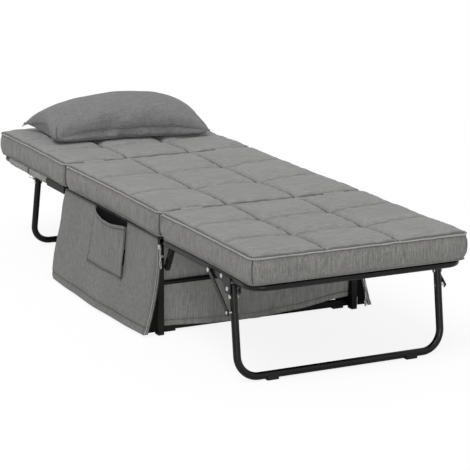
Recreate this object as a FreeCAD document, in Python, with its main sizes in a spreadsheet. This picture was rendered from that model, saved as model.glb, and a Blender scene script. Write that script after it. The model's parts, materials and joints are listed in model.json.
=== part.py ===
import FreeCAD, Part
import math
import os
import Sketcher

# Convertible chair bed, laid flat: three tufted cushions on folding steel frames.
# X is across the bed, the foot end points to -Y, the head end to +Y, and the floor is z = 0.

SIZES = {
    "cushion_width": 660,
    "foot_length": 575,
    "middle_length": 730,
    "back_length": 615,
    "frame_top": 291,
    "side_height": 72,
    "crown_rise": 13,
    "seam_rise": 4,
    "side_draw": 5,
    "side_bulge": 2,
    "corner_round": 26,
    "seam_gap": 11,
    "soft_gap": 0.3,
    "rail_inset": 13,
    "rail_radius": 9.5,
    "rail_wall": 1.4,
    "rail_bend": 45,
    "rail_setback": 14,
    "rail_start": 22,
    "plug_long": 6,
    "plug_round": 4,
    "slat_width": 26,
    "slat_thick": 3,
    "slat_drop": 3,
    "box_tube": 18,
    "box_wall": 1.5,
    "leg_depth": 25,
    "leg_margin": 14.5,
    "floor_rail": 20,
    "foot_cap": 6,
    "floor_bar_offset": 27,
    "leg_radius": 10.5,
    "leg_wall": 1.4,
    "leg_bend": 60,
    "leg_overhang": 10,
    "pivot_drop": 27.5,
    "pad_thick": 3,
    "pad_width": 34,
    "pad_inset": 99,
    "front_leg_inset": 3,
    "front_leg_setback": 135,
    "front_splay": 8,
    "rear_leg_inset": 37,
    "rear_leg_setback": 244,
    "rear_splay": 15,
    "plate_thick": 3,
    "plate_gap": 13.5,
    "pivot_radius": 4,
    "bolt_radius": 3,
    "head_radius": 6,
    "head_thick": 2,
    "running_gap": 0.06,
    "lock_bolt_drop": 22,
    "brace_stud_drop": 63,
    "brace_reach": 105,
    "brace_width": 14,
    "brace_thick": 3,
    "hinge_height": 366,
    "hinge_inset": 100,
    "hinge_width": 60,
    "hinge_leaf": 3,
    "hinge_barrel": 4.4,
    "hinge_pin": 2.2,
    "mid_bar_height": 154,
    "mid_bar_radius": 7,
    "stop_arm_height": 197,
    "stop_arm_offset": 11,
    "stop_arm_thick": 12,
    "stop_arm_width": 16,
    "stop_arm_lean": 30,
    "stop_stud_radius": 5,
    "bracket_size": 60,
    "skirt_front_offset": 12.5,
    "skirt_rear_offset": 10,
    "skirt_thick": 2,
    "hem_height": 8,
    "flare_front": 46,
    "flare_rear": 54,
    "flare_belly": 12,
    "fold_depth": 5,
    "pocket_width": 250,
    "pocket_height": 158,
    "pocket_drop": 14,
    "pocket_shift": 35,
    "pocket_depth": 18,
    "zip_width": 9,
    "zip_thick": 2,
    "slider_long": 14,
    "slider_wide": 9,
    "slider_deep": 5,
    "pull_long": 62,
    "pull_wide": 7,
    "pull_thick": 1.6,
    "sleeve_radius": 14,
    "sleeve_gap": 9,
    "sleeve_end": 90,
    "ratchet_size": 23,
    "ratchet_long": 150,
    "pillow_length": 572,
    "pillow_depth": 300,
    "pillow_height": 140,
    "pillow_y": 725,
    "pillow_turn": -6.6,
}

doc = FreeCAD.newDocument("ChairBed")
dims = doc.addObject("Spreadsheet::Sheet", "Dims")
for row, (alias, number) in enumerate(SIZES.items(), start=1):
    dims.set(f"A{row}", alias)
    dims.set(f"B{row}", str(number))
    dims.setAlias(f"B{row}", alias)
doc.recompute()


def val(expression):
    """Number that an expression on the sheet gives."""
    result = dims.evalExpression(expression)
    return float(getattr(result, "Value", result))


# Places that many pieces share, as expressions on the sheet
HALF_WIDTH = "Dims.cushion_width / 2"
HALF_TOTAL = "(Dims.foot_length + Dims.middle_length + Dims.back_length) / 2"
FRONT_SEAM = f"(Dims.foot_length - {HALF_TOTAL})"
REAR_SEAM = f"({HALF_TOTAL} - Dims.back_length)"
RAIL_X = f"({HALF_WIDTH} - Dims.rail_inset)"
RAIL_Z = "(Dims.frame_top - Dims.rail_radius)"
PIVOT_Z = f"({RAIL_Z} - Dims.pivot_drop)"
FRONT_LEG_X = f"({RAIL_X} - Dims.front_leg_inset)"
REAR_LEG_X = f"({RAIL_X} - Dims.rear_leg_inset)"
HINGE_X = f"({HALF_WIDTH} - Dims.hinge_inset)"
CUSHION_Z = "(Dims.frame_top + Dims.soft_gap)"
FRONT_PIVOT_Y = f"(Dims.front_leg_setback - {HALF_TOTAL})"
REAR_PIVOT_Y = f"({HALF_TOTAL} - Dims.rear_leg_setback)"
FRAME_SIDE_X = f"({HALF_WIDTH} - 3)"
SEAM_FACE = "(Dims.hinge_leaf + Dims.soft_gap)"
SEAT_FRONT_Y = f"({FRONT_SEAM} + {SEAM_FACE})"
SEAT_REAR_Y = f"({REAR_SEAM} - {SEAM_FACE})"
SKIRT_FRONT_Y = f"({FRONT_SEAM} + Dims.skirt_front_offset)"
SKIRT_REAR_Y = f"({REAR_SEAM} - Dims.skirt_rear_offset)"
LEG_FRONT_Y = f"({FRONT_SEAM} + Dims.leg_margin)"
LEG_REAR_Y = f"({REAR_SEAM} - Dims.leg_margin)"
BRACE_DROP = f"({RAIL_Z} - {PIVOT_Z} + Dims.brace_stud_drop * cos(Dims.front_splay))"
BRACE_RUN = "(Dims.brace_reach + Dims.brace_stud_drop * sin(Dims.front_splay))"
BRACE_LENGTH = f"sqrt({BRACE_RUN} ^ 2 + {BRACE_DROP} ^ 2)"

X_AXIS = FreeCAD.Vector(1, 0, 0)
Y_AXIS = FreeCAD.Vector(0, 1, 0)
Z_AXIS = FreeCAD.Vector(0, 0, 1)
BRACKET_FRONT_Y = f"({SEAT_FRONT_Y} + Dims.box_tube)"
BRACKET_WIDE = f"({LEG_FRONT_Y} + Dims.leg_depth - {BRACKET_FRONT_Y})"
# Turns local x, y, z to world Y, Z, X, for a plate that stands in a YZ plane
UPRIGHT = FreeCAD.Rotation(FreeCAD.Vector(1, 1, 1), 120)
ALONG_X = FreeCAD.Rotation(Y_AXIS, 90)
ALONG_Y = FreeCAD.Rotation(X_AXIS, -90)
FLAT = FreeCAD.Rotation()

nodes = []


def node(obj, label):
    """Names a finished sub-part, which is written to a file of that name."""
    obj.Label = label
    nodes.append(obj)
    return obj


def bind(obj, sizes):
    for name, expression in sizes.items():
        obj.setExpression(name, expression)
    return obj


def place(obj, at, turn=FLAT):
    """Turns an object and binds its base point to three expressions."""
    obj.Placement = FreeCAD.Placement(FreeCAD.Vector(*[val(e) for e in at]), turn)
    for axis, expression in zip("xyz", at):
        obj.setExpression(f"Placement.Base.{axis}", expression)
    return obj


def box(size, at, turn=FLAT):
    obj = doc.addObject("Part::Box", "Block")
    bind(obj, dict(zip(("Length", "Width", "Height"), size)))
    return place(obj, at, turn)


def rod(radius, length, at, turn=FLAT):
    obj = doc.addObject("Part::Cylinder", "Rod")
    bind(obj, {"Radius": radius, "Height": length})
    return place(obj, at, turn)


def cut(base, tool):
    obj = doc.addObject("Part::Cut", "Cut")
    obj.Base = base
    obj.Tool = tool
    return obj


def fuse(pieces):
    obj = doc.addObject("Part::MultiFuse", "Fuse")
    obj.Shapes = pieces
    return obj


def group(pieces):
    """Several separate solids in one sub-part."""
    obj = doc.addObject("Part::Compound", "Group")
    obj.Links = pieces
    return obj


def feature(shape):
    obj = doc.addObject("Part::Feature", "Form")
    obj.Shape = shape
    return obj


def drilled(base, holes):
    """Cuts round holes along X at (radius, y, z), right through the width given."""
    tools = [
        rod(radius, "2 * Dims.cushion_width", ("-Dims.cushion_width", y, z), ALONG_X)
        for radius, y, z in holes
    ]
    return cut(base, tools[0] if len(tools) == 1 else fuse(tools))


def box_tube(size, at, hollow_axis):
    """Square steel tube, open at both ends along hollow_axis (0, 1 or 2)."""
    outer = box(size, at)
    inner_size = [f"{s} - 2 * Dims.box_wall" for s in size]
    inner_at = [f"{a} + Dims.box_wall" for a in at]
    inner_size[hollow_axis] = f"{size[hollow_axis]} + 2"
    inner_at[hollow_axis] = f"{at[hollow_axis]} - 1"
    return cut(outer, box(inner_size, inner_at))


def u_run(radius, span, start, depth, bend):
    """One U of round bar: two arms along -Y from y = start, two bends and a cross run."""
    arm = f"{start} + {depth} - {bend}"
    base = f"2 * ({span} - {bend})"
    pieces = [
        rod(radius, arm, (f"-({span})", f"{start} - ({arm})", "0"), ALONG_Y),
        rod(radius, arm, (f"{span}", f"{start} - ({arm})", "0"), ALONG_Y),
        rod(radius, base, (f"-({span}) + {bend}", f"-({depth})", "0"), ALONG_X),
    ]
    for side, turn in (("-1", 180), ("1", 270)):
        corner = doc.addObject("Part::Torus", "Bend")
        bind(corner, {"Radius1": bend, "Radius2": radius})
        corner.Angle3 = 90
        at = (f"{side} * ({span} - {bend})", f"{bend} - ({depth})", "0")
        pieces.append(place(corner, at, FreeCAD.Rotation(Z_AXIS, turn)))
    return fuse(pieces)


def u_tube(radius, wall, span, start, depth, bend):
    outer = u_run(radius, span, start, depth, bend)
    inner = u_run(f"{radius} - {wall}", span, start, depth, bend)
    return cut(outer, inner)


def plate(points, thick, holes=()):
    """Flat plate padded from a sketch: corners as (x, y) expressions, all above zero."""
    body = doc.addObject("PartDesign::Body", "Plate")
    sketch = body.newObject("Sketcher::SketchObject", "Outline")
    plane = [f for f in body.Origin.OriginFeatures if f.Role == "XY_Plane"][0]
    sketch.AttachmentSupport = [(plane, "")]
    sketch.MapMode = "FlatFace"
    spots = [FreeCAD.Vector(val(px), val(py), 0) for px, py in points]
    count = len(spots)
    for i in range(count):
        sketch.addGeometry(Part.LineSegment(spots[i], spots[(i + 1) % count]), False)
    for i in range(count):
        sketch.addConstraint(Sketcher.Constraint("Coincident", i, 2, (i + 1) % count, 1))
    for i, (px, py) in enumerate(points):
        for kind, expression in (("DistanceX", px), ("DistanceY", py)):
            number = Sketcher.Constraint(kind, -1, 1, i, 1, val(expression))
            index = sketch.addConstraint(number)
            sketch.setExpression(f"Constraints[{index}]", expression)
    for radius, px, py in holes:
        centre = FreeCAD.Vector(val(px), val(py), 0)
        ring = sketch.addGeometry(Part.Circle(centre, Z_AXIS, val(radius)), False)
        for constraint, expression in (
            (Sketcher.Constraint("Radius", ring, val(radius)), radius),
            (Sketcher.Constraint("DistanceX", -1, 1, ring, 3, val(px)), px),
            (Sketcher.Constraint("DistanceY", -1, 1, ring, 3, val(py)), py),
        ):
            index = sketch.addConstraint(constraint)
            sketch.setExpression(f"Constraints[{index}]", expression)
    pad = body.newObject("PartDesign::Pad", "Thickness")
    pad.Profile = sketch
    pad.setExpression("Length", thick)
    return body


def bolt(radius, x_from, x_to, y, z, head_at_start=True, head_at_end=True):
    """Bolt along X between two faces, with a round head outside each end."""
    pieces = [rod(radius, f"({x_to}) - ({x_from})", (x_from, y, z), ALONG_X)]
    if head_at_start:
        at = (f"{x_from} - Dims.head_thick", y, z)
        pieces.append(rod("Dims.head_radius", "Dims.head_thick", at, ALONG_X))
    if head_at_end:
        pieces.append(rod("Dims.head_radius", "Dims.head_thick", (x_to, y, z), ALONG_X))
    return fuse(pieces) if len(pieces) > 1 else pieces[0]


def slats(label, centre_y, length, count, half_x):
    """Flat cross bars welded between two side rails, a little below their tops."""
    pieces = []
    for i in range(count):
        y = f"{centre_y} + ({length}) * {(i + 0.5) / count - 0.5} - Dims.slat_width / 2"
        z = "Dims.frame_top - Dims.slat_drop - Dims.slat_thick"
        size = (f"2 * ({half_x})", "Dims.slat_width", "Dims.slat_thick")
        pieces.append(box(size, (f"-({half_x})", y, z)))
    return node(group(pieces), label)


def tufted_cushion(length, width):
    """Boxed cushion with a crown and three by three sewn cells, lofted along its length."""
    height = val("Dims.side_height")
    crown = val("Dims.crown_rise")
    seam = val("Dims.seam_rise")
    draw = val("Dims.side_draw")
    bulge = val("Dims.side_bulge")
    rows = 3
    sections = []
    for step in range(2 * rows + 1):
        share = step / (2 * rows)
        y = (share - 0.5) * length
        middle = 1 - (2 * share - 1) ** 2
        half = width / 2 - draw * middle
        puffed = step % 2 == 1
        valley = height + seam * middle
        edge_rise = (crown if puffed else 1.0 + seam * middle) * 0.85
        mid_rise = (crown - seam if puffed else 1.0)

        def spot(x, z):
            return FreeCAD.Vector(x, y, z)

        right = Part.Arc(spot(half, 0), spot(half + bulge, height / 2), spot(half, height))
        left = Part.Arc(spot(-half, height), spot(-half - bulge, height / 2), spot(-half, 0))
        inner = half / 3
        shoulder = (height + valley) / 2
        edges = [
            Part.LineSegment(spot(-half, 0), spot(half, 0)),
            right,
            Part.Arc(spot(half, height), spot(2 * inner, shoulder + edge_rise), spot(inner, valley)),
            Part.Arc(spot(inner, valley), spot(0, valley + mid_rise), spot(-inner, valley)),
            Part.Arc(spot(-inner, valley), spot(-2 * inner, shoulder + edge_rise), spot(-half, height)),
            left,
        ]
        sections.append(Part.Wire([edge.toShape() for edge in edges]))
    loft = Part.makeLoft(sections, True, False)
    trim = Part.makeBox(
        width + 4 * bulge,
        length,
        2 * height + 4 * crown,
        FreeCAD.Vector(-width / 2 - 2 * bulge, -length / 2, -height),
    )
    upright = [e for e in trim.Edges if abs(e.tangentAt(e.FirstParameter).z) > 0.99]
    return loft.common(trim.makeFillet(val("Dims.corner_round"), upright))


def cushion(label, start_y, end_y):
    gap = val("Dims.seam_gap") / 2
    low = val(start_y)
    high = val(end_y)
    low += gap if low > val(f"1 - {HALF_TOTAL}") else 0
    high -= gap if high < val(f"{HALF_TOTAL} - 1") else 0
    obj = node(feature(tufted_cushion(high - low, val("Dims.cushion_width"))), label)
    obj.Placement = FreeCAD.Placement(FreeCAD.Vector(0, (low + high) / 2, val(CUSHION_Z)), FLAT)
    return obj


def sheet_loft(profiles):
    """Solid of thin cloth lofted through closed profiles."""
    return Part.makeLoft([Part.Wire(Part.__sortEdges__(p)) for p in profiles], True, False)


def flare_at(share, depth):
    """Outward lean of a side skirt: share runs front to rear, depth from top 0 to hem 1."""
    front = val("Dims.flare_front")
    rear = val("Dims.flare_rear")
    belly = val("Dims.flare_belly")
    reach = front + (rear - front) * share + 4 * belly * share * (1 - share)
    power = 2.2 - 1.35 * share
    return reach * depth ** power


def side_line(share):
    """Top, middle and hem points (x, z) of the outer face of a side skirt."""
    top_x = val(f"{FRAME_SIDE_X} + Dims.soft_gap + Dims.skirt_thick")
    top_z = val("Dims.frame_top")
    hem_z = val("Dims.hem_height")
    folds = 3
    wave = val("Dims.fold_depth") * math.cos(2 * math.pi * folds * share)
    return [
        (top_x + flare_at(share, d) - wave * d * d * 0.5, top_z + (hem_z - top_z) * d)
        for d in (0.0, 0.5, 1.0)
    ]


def arc_through(points, y):
    a, b, c = (FreeCAD.Vector(x, y, z) for x, z in points)
    return Part.Arc(a, b, c).toShape()


def strip_profile(line, thick, y):
    """Closed thin profile between a line of three (x, z) points and its inward offset."""
    inner = [(x - thick, z) for x, z in line]
    outer_edge = arc_through(line, y)
    inner_edge = arc_through(inner, y)
    top = Part.LineSegment(outer_edge.Vertexes[0].Point, inner_edge.Vertexes[0].Point)
    hem = Part.LineSegment(outer_edge.Vertexes[-1].Point, inner_edge.Vertexes[-1].Point)
    return [outer_edge, hem.toShape(), inner_edge, top.toShape()]


def side_skirt():
    front = val(SKIRT_FRONT_Y)
    rear = val(SKIRT_REAR_Y)
    thick = val("Dims.skirt_thick")
    steps = 12
    profiles = []
    for i in range(steps + 1):
        share = i / steps
        profiles.append(strip_profile(side_line(share), thick, front + (rear - front) * share))
    return sheet_loft(profiles)


def skirt_share(y):
    front = val(SKIRT_FRONT_Y)
    return (y - front) / (val(SKIRT_REAR_Y) - front)


def blend_line(line, depth_a, depth_b, lift):
    """Part of a skirt line between two depths, pushed outward by three amounts."""
    (ax, az), (bx, bz), (cx, cz) = line
    curve = Part.Arc(FreeCAD.Vector(ax, 0, az), FreeCAD.Vector(bx, 0, bz), FreeCAD.Vector(cx, 0, cz))
    arc = curve.toShape()
    spots = []
    for share, out in zip((0.0, 0.5, 1.0), lift):
        depth = depth_a + (depth_b - depth_a) * share
        z = az + (cz - az) * depth
        level = Part.LineSegment(FreeCAD.Vector(0, 0, z), FreeCAD.Vector(val("Dims.cushion_width"), 0, z)).toShape()
        spots.append((arc.distToShape(level)[1][0][0].x + out, z))
    return spots


def side_pocket():
    """Patch pocket sewn to the skirt at its sides and foot, with a sagging open mouth."""
    centre = val(f"-Dims.pocket_shift")
    width = val("Dims.pocket_width")
    drop = val("Dims.pocket_drop")
    height = val("Dims.pocket_height")
    tall = val("Dims.frame_top - Dims.hem_height")
    depth = val("Dims.pocket_depth")
    thick = val("Dims.skirt_thick") * 0.75
    seat = thick + 0.4
    profiles = []
    steps = 8
    for i in range(steps + 1):
        share = i / steps
        bow = math.sin(math.pi * share)
        y = centre + (share - 0.5) * width
        top = (drop + 6 * bow) / tall
        foot = (drop + height) / tall
        lift = (seat + depth * bow, seat + 0.62 * depth * bow, seat)
        line = blend_line(side_line(skirt_share(y)), top, foot, lift)
        profiles.append(strip_profile(line, thick, y))
    return sheet_loft(profiles)


def end_skirt(y_top, y_middle, y_hem, inward):
    """Panel between two legs, hung behind the mid bar in gentle vertical folds."""
    half = val(f"{FRAME_SIDE_X} - Dims.box_tube - Dims.plate_thick - Dims.head_thick - 1")
    top_z = val("Dims.frame_top - Dims.box_tube")
    middle_z = val("Dims.mid_bar_height")
    thick = inward * val("Dims.skirt_thick")
    fold = val("Dims.fold_depth")
    folds = 4
    steps = 16
    profiles = []
    for i in range(steps + 1):
        share = i / steps
        x = (2 * share - 1) * half
        wave = inward * fold * 0.4 * (1 - math.cos(2 * math.pi * folds * share))
        hem_z = val("Dims.hem_height") + 14 * (2 * share - 1) ** 2
        line = [(y_top, top_z), (y_middle + 0.3 * wave, middle_z), (y_hem + wave, hem_z)]
        near = [FreeCAD.Vector(x, y, z) for y, z in line]
        far = [FreeCAD.Vector(x, y + thick, z) for y, z in line]
        profiles.append(
            [
                Part.Arc(*near).toShape(),
                Part.LineSegment(near[2], far[2]).toShape(),
                Part.Arc(*far).toShape(),
                Part.LineSegment(far[0], near[0]).toShape(),
            ]
        )
    return sheet_loft(profiles)


def zip_strip():
    """Zip tape along the front edge of a side skirt, from below the rail to the hem."""
    start = val("(Dims.box_tube + 1) / (Dims.frame_top - Dims.hem_height)")
    line = blend_line(side_line(0.0), start, 1.0, (0.0, 0.0, 0.0))
    width = val("Dims.zip_width - Dims.skirt_thick")
    profile = strip_profile(line, width, val(SKIRT_FRONT_Y))
    face = Part.Face(Part.Wire(Part.__sortEdges__(profile)))
    return face.extrude(FreeCAD.Vector(0, -val("Dims.zip_thick"), 0))


def mirrored(shape):
    return shape.mirror(FreeCAD.Vector(), X_AXIS)


def pillow_shape():
    """Plump pillow, lofted along its length, thin and pointed at both ends."""
    length = val("Dims.pillow_length")
    depth = val("Dims.pillow_depth")
    height = val("Dims.pillow_height")
    steps = 8
    wires = []
    for i in range(steps + 1):
        share = 2 * i / steps - 1
        plump = (1 - share * share * 0.97) ** 0.5
        x = share * length / 2
        half = depth / 2 * (0.90 + 0.10 * abs(share) ** 3)
        foot = half * (0.25 + 0.45 * plump)
        seam = height * (0.10 + 0.32 * plump)
        top = seam + height * (0.04 + 0.54 * plump)
        low = height * 0.02 * (1 - plump)

        def spot(y, z):
            return FreeCAD.Vector(x, y, z)

        front_mid = spot(-(half * 0.55 + foot * 0.52), (seam + low) * 0.34)
        back_mid = spot(half * 0.55 + foot * 0.52, (seam + low) * 0.34)
        edges = [
            Part.LineSegment(spot(foot, low), spot(-foot, low)),
            Part.Arc(spot(-foot, low), front_mid, spot(-half, seam)),
            Part.Arc(spot(-half, seam), spot(0, top), spot(half, seam)),
            Part.Arc(spot(half, seam), back_mid, spot(foot, low)),
        ]
        wires.append(Part.Wire([edge.toShape() for edge in edges]))
    return Part.makeLoft(wires, True, False)


def base_frame():
    """Legs, floor rails and seat frame that carry the middle section."""
    side = "Dims.box_tube"
    rail_bottom = "Dims.frame_top - Dims.box_tube"
    span = f"{SEAT_REAR_Y} - ({SEAT_FRONT_Y})"
    rails = []
    for x in (f"-({FRAME_SIDE_X})", f"{FRAME_SIDE_X} - Dims.box_tube"):
        rails.append(box_tube((side, span, side), (x, SEAT_FRONT_Y, rail_bottom), 1))
    hole = "Dims.bolt_radius + Dims.running_gap"
    front_bolt_y = f"{BRACKET_FRONT_Y} + {BRACKET_WIDE} / 2"
    rear_bolt_y = f"{LEG_REAR_Y} - Dims.leg_depth + {BRACKET_WIDE} / 2"
    holes = [(hole, y, f"{rail_bottom} + {side} / 2") for y in (front_bolt_y, rear_bolt_y)]
    node(drilled(group(rails), holes), "seat_side_rails")

    inner = f"{FRAME_SIDE_X} - Dims.box_tube"
    cross = []
    for y in (SEAT_FRONT_Y, f"{SEAT_REAR_Y} - Dims.box_tube"):
        size = (f"2 * ({inner})", side, side)
        cross.append(box_tube(size, (f"-({inner})", y, rail_bottom), 0))
    node(group(cross), "seat_cross_rails")

    half_slat = f"({inner})"
    middle = f"({SEAT_FRONT_Y} + {SEAT_REAR_Y}) / 2"
    slats("seat_slats", middle, f"{span} - 80", 4, half_slat)

    leg_low = "Dims.foot_cap"
    leg_tall = f"{rail_bottom} - Dims.foot_cap"
    for name, x in (("left", f"-({FRAME_SIDE_X})"), ("right", f"{FRAME_SIDE_X} - Dims.box_tube")):
        size = (side, "Dims.leg_depth", leg_tall)
        front = box_tube(size, (x, LEG_FRONT_Y, leg_low), 2)
        rear = box_tube(size, (x, f"{LEG_REAR_Y} - Dims.leg_depth", leg_low), 2)
        run = f"({LEG_REAR_Y}) - ({LEG_FRONT_Y}) - 2 * Dims.leg_depth"
        low_size = (side, run, "Dims.floor_rail")
        low = box_tube(low_size, (x, f"{LEG_FRONT_Y} + Dims.leg_depth", leg_low), 1)
        bolt_z = f"{rail_bottom} - Dims.bracket_size / 3"
        leg_holes = [(hole, front_bolt_y, bolt_z), (hole, rear_bolt_y, bolt_z)]
        node(drilled(group([front, rear, low]), leg_holes), f"base_side_frame_{name}")

    bars = []
    for y in (
        f"{LEG_FRONT_Y} + Dims.floor_bar_offset",
        f"{LEG_REAR_Y} - Dims.floor_bar_offset - Dims.box_tube",
    ):
        size = (f"2 * ({inner})", side, side)
        bars.append(box_tube(size, (f"-({inner})", y, "Dims.foot_cap"), 0))
    node(group(bars), "base_floor_bars")

    mid_at = (f"-({inner})", f"{LEG_FRONT_Y} + Dims.mid_bar_radius", "Dims.mid_bar_height")
    mid = rod("Dims.mid_bar_radius", f"2 * ({inner})", mid_at, ALONG_X)
    core = rod("Dims.mid_bar_radius - Dims.box_wall", f"2 * ({inner})", mid_at, ALONG_X)
    node(cut(mid, core), "base_mid_bar")

    caps = []
    for x in (f"-({FRAME_SIDE_X})", f"{FRAME_SIDE_X} - Dims.box_tube"):
        for y in (LEG_FRONT_Y, f"{LEG_REAR_Y} - Dims.leg_depth"):
            caps.append(box((side, "Dims.leg_depth", "Dims.foot_cap"), (x, y, "0")))
    node(group(caps), "base_feet")

    pads = []
    for x in (f"19 - {FRONT_LEG_X}", f"{FRONT_LEG_X} - 53"):
        size = ("Dims.pad_width", side, "Dims.foot_cap")
        pads.append(box(size, (x, f"{LEG_FRONT_Y} + Dims.floor_bar_offset", "0")))
    node(group(pads), "floor_bar_pads")


def leg_brackets():
    """Flat corner plates inside each leg, bolted to the leg and to the seat rail."""
    inner = f"({FRAME_SIDE_X} - Dims.box_tube)"
    rail_bottom = "(Dims.frame_top - Dims.box_tube)"
    high = "Dims.bracket_size"
    wide = BRACKET_WIDE
    hole = "Dims.bolt_radius + Dims.running_gap"
    low_bolt = f"{high} - Dims.box_tube - {high} / 3"
    high_bolt = f"{high} - Dims.box_tube / 2"
    plates = []
    bolts = []
    for y in (BRACKET_FRONT_Y, f"({LEG_REAR_Y} - Dims.leg_depth)"):
        for side in ("-1", "1"):
            corners = [
                ("1", "1"),
                (f"1 + {wide}", "1"),
                (f"1 + {wide}", f"1 + {high}"),
                ("1", f"1 + {high}"),
            ]
            holes = [
                (hole, f"1 + {wide} / 2", f"1 + {low_bolt}"),
                (hole, f"1 + {wide} / 2", f"1 + {high_bolt}"),
            ]
            piece = plate(corners, "Dims.plate_thick", holes)
            x = f"-{inner}" if side == "-1" else f"{inner} - Dims.plate_thick"
            bottom = f"Dims.frame_top - {high}"
            place(piece, (x, f"{y} - 1", f"{bottom} - 1"), UPRIGHT)
            plates.append(piece)
            for level in (low_bolt, high_bolt):
                z = f"{bottom} + {level}"
                outer = f"({FRAME_SIDE_X})"
                if side == "-1":
                    ends = (f"-{outer}", f"-{inner} + Dims.plate_thick")
                    bolts.append(bolt("Dims.bolt_radius", *ends, f"{y} + {wide} / 2", z, False, True))
                else:
                    ends = (f"{inner} - Dims.plate_thick", outer)
                    bolts.append(bolt("Dims.bolt_radius", *ends, f"{y} + {wide} / 2", z, True, False))
    # Silver bolts through the front face of each front leg, one above the other
    for side in ("-1", "1"):
        for up, out in (("-27", "5"), ("-39", "-3")):
            head_x = f"{side} * ({FRAME_SIDE_X} - Dims.box_tube / 2 + {out})"
            head_z = f"{rail_bottom} + {up}"
            head = rod(
                "Dims.bolt_radius + 1", "Dims.head_thick", (head_x, f"{LEG_FRONT_Y} - Dims.head_thick", head_z), ALONG_Y
            )
            bolts.append(head)
    node(group(plates), "leg_brackets")
    node(group(bolts), "leg_bracket_bolts")


def section_frame(name, seam, outward, extra_holes):
    """Bent tube frame of an end section, with its cross rail by the seam."""
    length = f"Dims.{name}_length - Dims.rail_setback"
    depth = f"{length} - Dims.rail_start"
    tube = u_tube("Dims.rail_radius", "Dims.rail_wall", RAIL_X, "0", f"({depth})", "Dims.rail_bend")
    start = f"{seam} + {outward} * Dims.rail_start"
    turn = FLAT if outward == "-1" else FreeCAD.Rotation(Z_AXIS, 180)
    place(tube, ("0", start, RAIL_Z), turn)
    framed = drilled(tube, extra_holes) if extra_holes else tube
    node(framed, f"{name}_frame")
    plugs = []
    for side in ("-1", "1"):
        plug = rod("Dims.rail_radius", "Dims.plug_long", ("0", "0", "0"))
        doc.recompute()
        rounded = doc.addObject("Part::Fillet", "Plug")
        rounded.Base = plug
        top = [i for i, e in enumerate(plug.Shape.Edges, 1) if e.BoundBox.ZMin > val("Dims.plug_long / 2")]
        rounded.Edges = [(i, val("Dims.plug_round"), val("Dims.plug_round")) for i in top]
        facing = ALONG_Y if outward == "-1" else FreeCAD.Rotation(X_AXIS, 90)
        plugs.append(place(rounded, (f"{side} * {RAIL_X}", start, RAIL_Z), facing))
    return plugs


def seam_rail(y):
    """Square cross rail by the seam, which carries the hinge leaves."""
    reach = f"({RAIL_X} - Dims.rail_radius)"
    size = (f"2 * {reach}", "Dims.box_tube", "Dims.box_tube")
    return box_tube(size, (f"-{reach}", y, "Dims.frame_top - Dims.box_tube"), 0)


def cross_tube(y):
    """Round cross rail between the two side rails of a section."""
    reach = f"({RAIL_X} - Dims.rail_radius)"
    ends = (f"-{reach}", y, RAIL_Z)
    outer = rod("Dims.rail_radius", f"2 * {reach}", ends, ALONG_X)
    inner = rod("Dims.rail_radius - Dims.rail_wall", f"2 * {reach}", ends, ALONG_X)
    return cut(outer, inner)


def hinge_leaf(seam, side, fixed, outward):
    """One leaf of a seam hinge: a plate in the seam with a knuckle on the pin."""
    width = "Dims.hinge_width"
    x = f"{HINGE_X} * {side} - Dims.hinge_width / 2"
    low = "Dims.frame_top - Dims.box_tube"
    top = "Dims.hinge_height"
    near = f"{seam} + {outward} * Dims.soft_gap"
    y = near if outward == "1" else f"{near} - Dims.hinge_leaf"
    leaf = box((width, "Dims.hinge_leaf", f"{top} - ({low})"), (x, y, low))
    knuckle = "Dims.hinge_width / 3"
    barrel = "Dims.hinge_barrel"
    window = f"{barrel} + 0.4"
    # The other leaf's knuckles turn in windows cut from this leaf's top edge
    if fixed:
        spots = (f"{x}", f"{x} + 2 * {knuckle}")
        gaps = ((f"{x} + {knuckle} - 0.4", f"{knuckle} + 0.8"),)
    else:
        spots = (f"{x} + {knuckle}",)
        gaps = ((f"{x} - 1", f"{knuckle} + 1.4"), (f"{x} + 2 * {knuckle} - 0.4", f"{knuckle} + 1.4"))
    rounds = []
    for start in spots:
        shrink = "0.2"
        at = (f"{start} + {shrink}", seam, top)
        rounds.append(rod(barrel, f"{knuckle} - 2 * {shrink}", at, ALONG_X))
    cleared = leaf
    for start, long in gaps:
        cleared = cut(cleared, rod(window, long, (start, seam, top), ALONG_X))
    body = fuse([cleared] + rounds)
    bore = rod("Dims.hinge_pin + Dims.running_gap", f"{width} + 2", (f"{x} - 1", seam, top), ALONG_X)
    return cut(body, bore)


def seam_hinges():
    """Two hinges at each seam, at the level of the piping, with their pins."""
    pins = []
    for name, seam, outward in (("foot", FRONT_SEAM, "-1"), ("back", REAR_SEAM, "1")):
        fixed = []
        moving = []
        for side in ("-1", "1"):
            opposite = "1" if outward == "-1" else "-1"
            fixed.append(hinge_leaf(seam, side, True, opposite))
            moving.append(hinge_leaf(seam, side, False, outward))
            x = f"{HINGE_X} * {side} - Dims.hinge_width / 2"
            pins.append(rod("Dims.hinge_pin", "Dims.hinge_width", (x, seam, "Dims.hinge_height"), ALONG_X))
        node(group(fixed), f"{name}_hinge_seat_leaves")
        node(group(moving), f"{name}_hinge_leaves")
    node(group(pins), "seam_hinge_pins")


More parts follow.
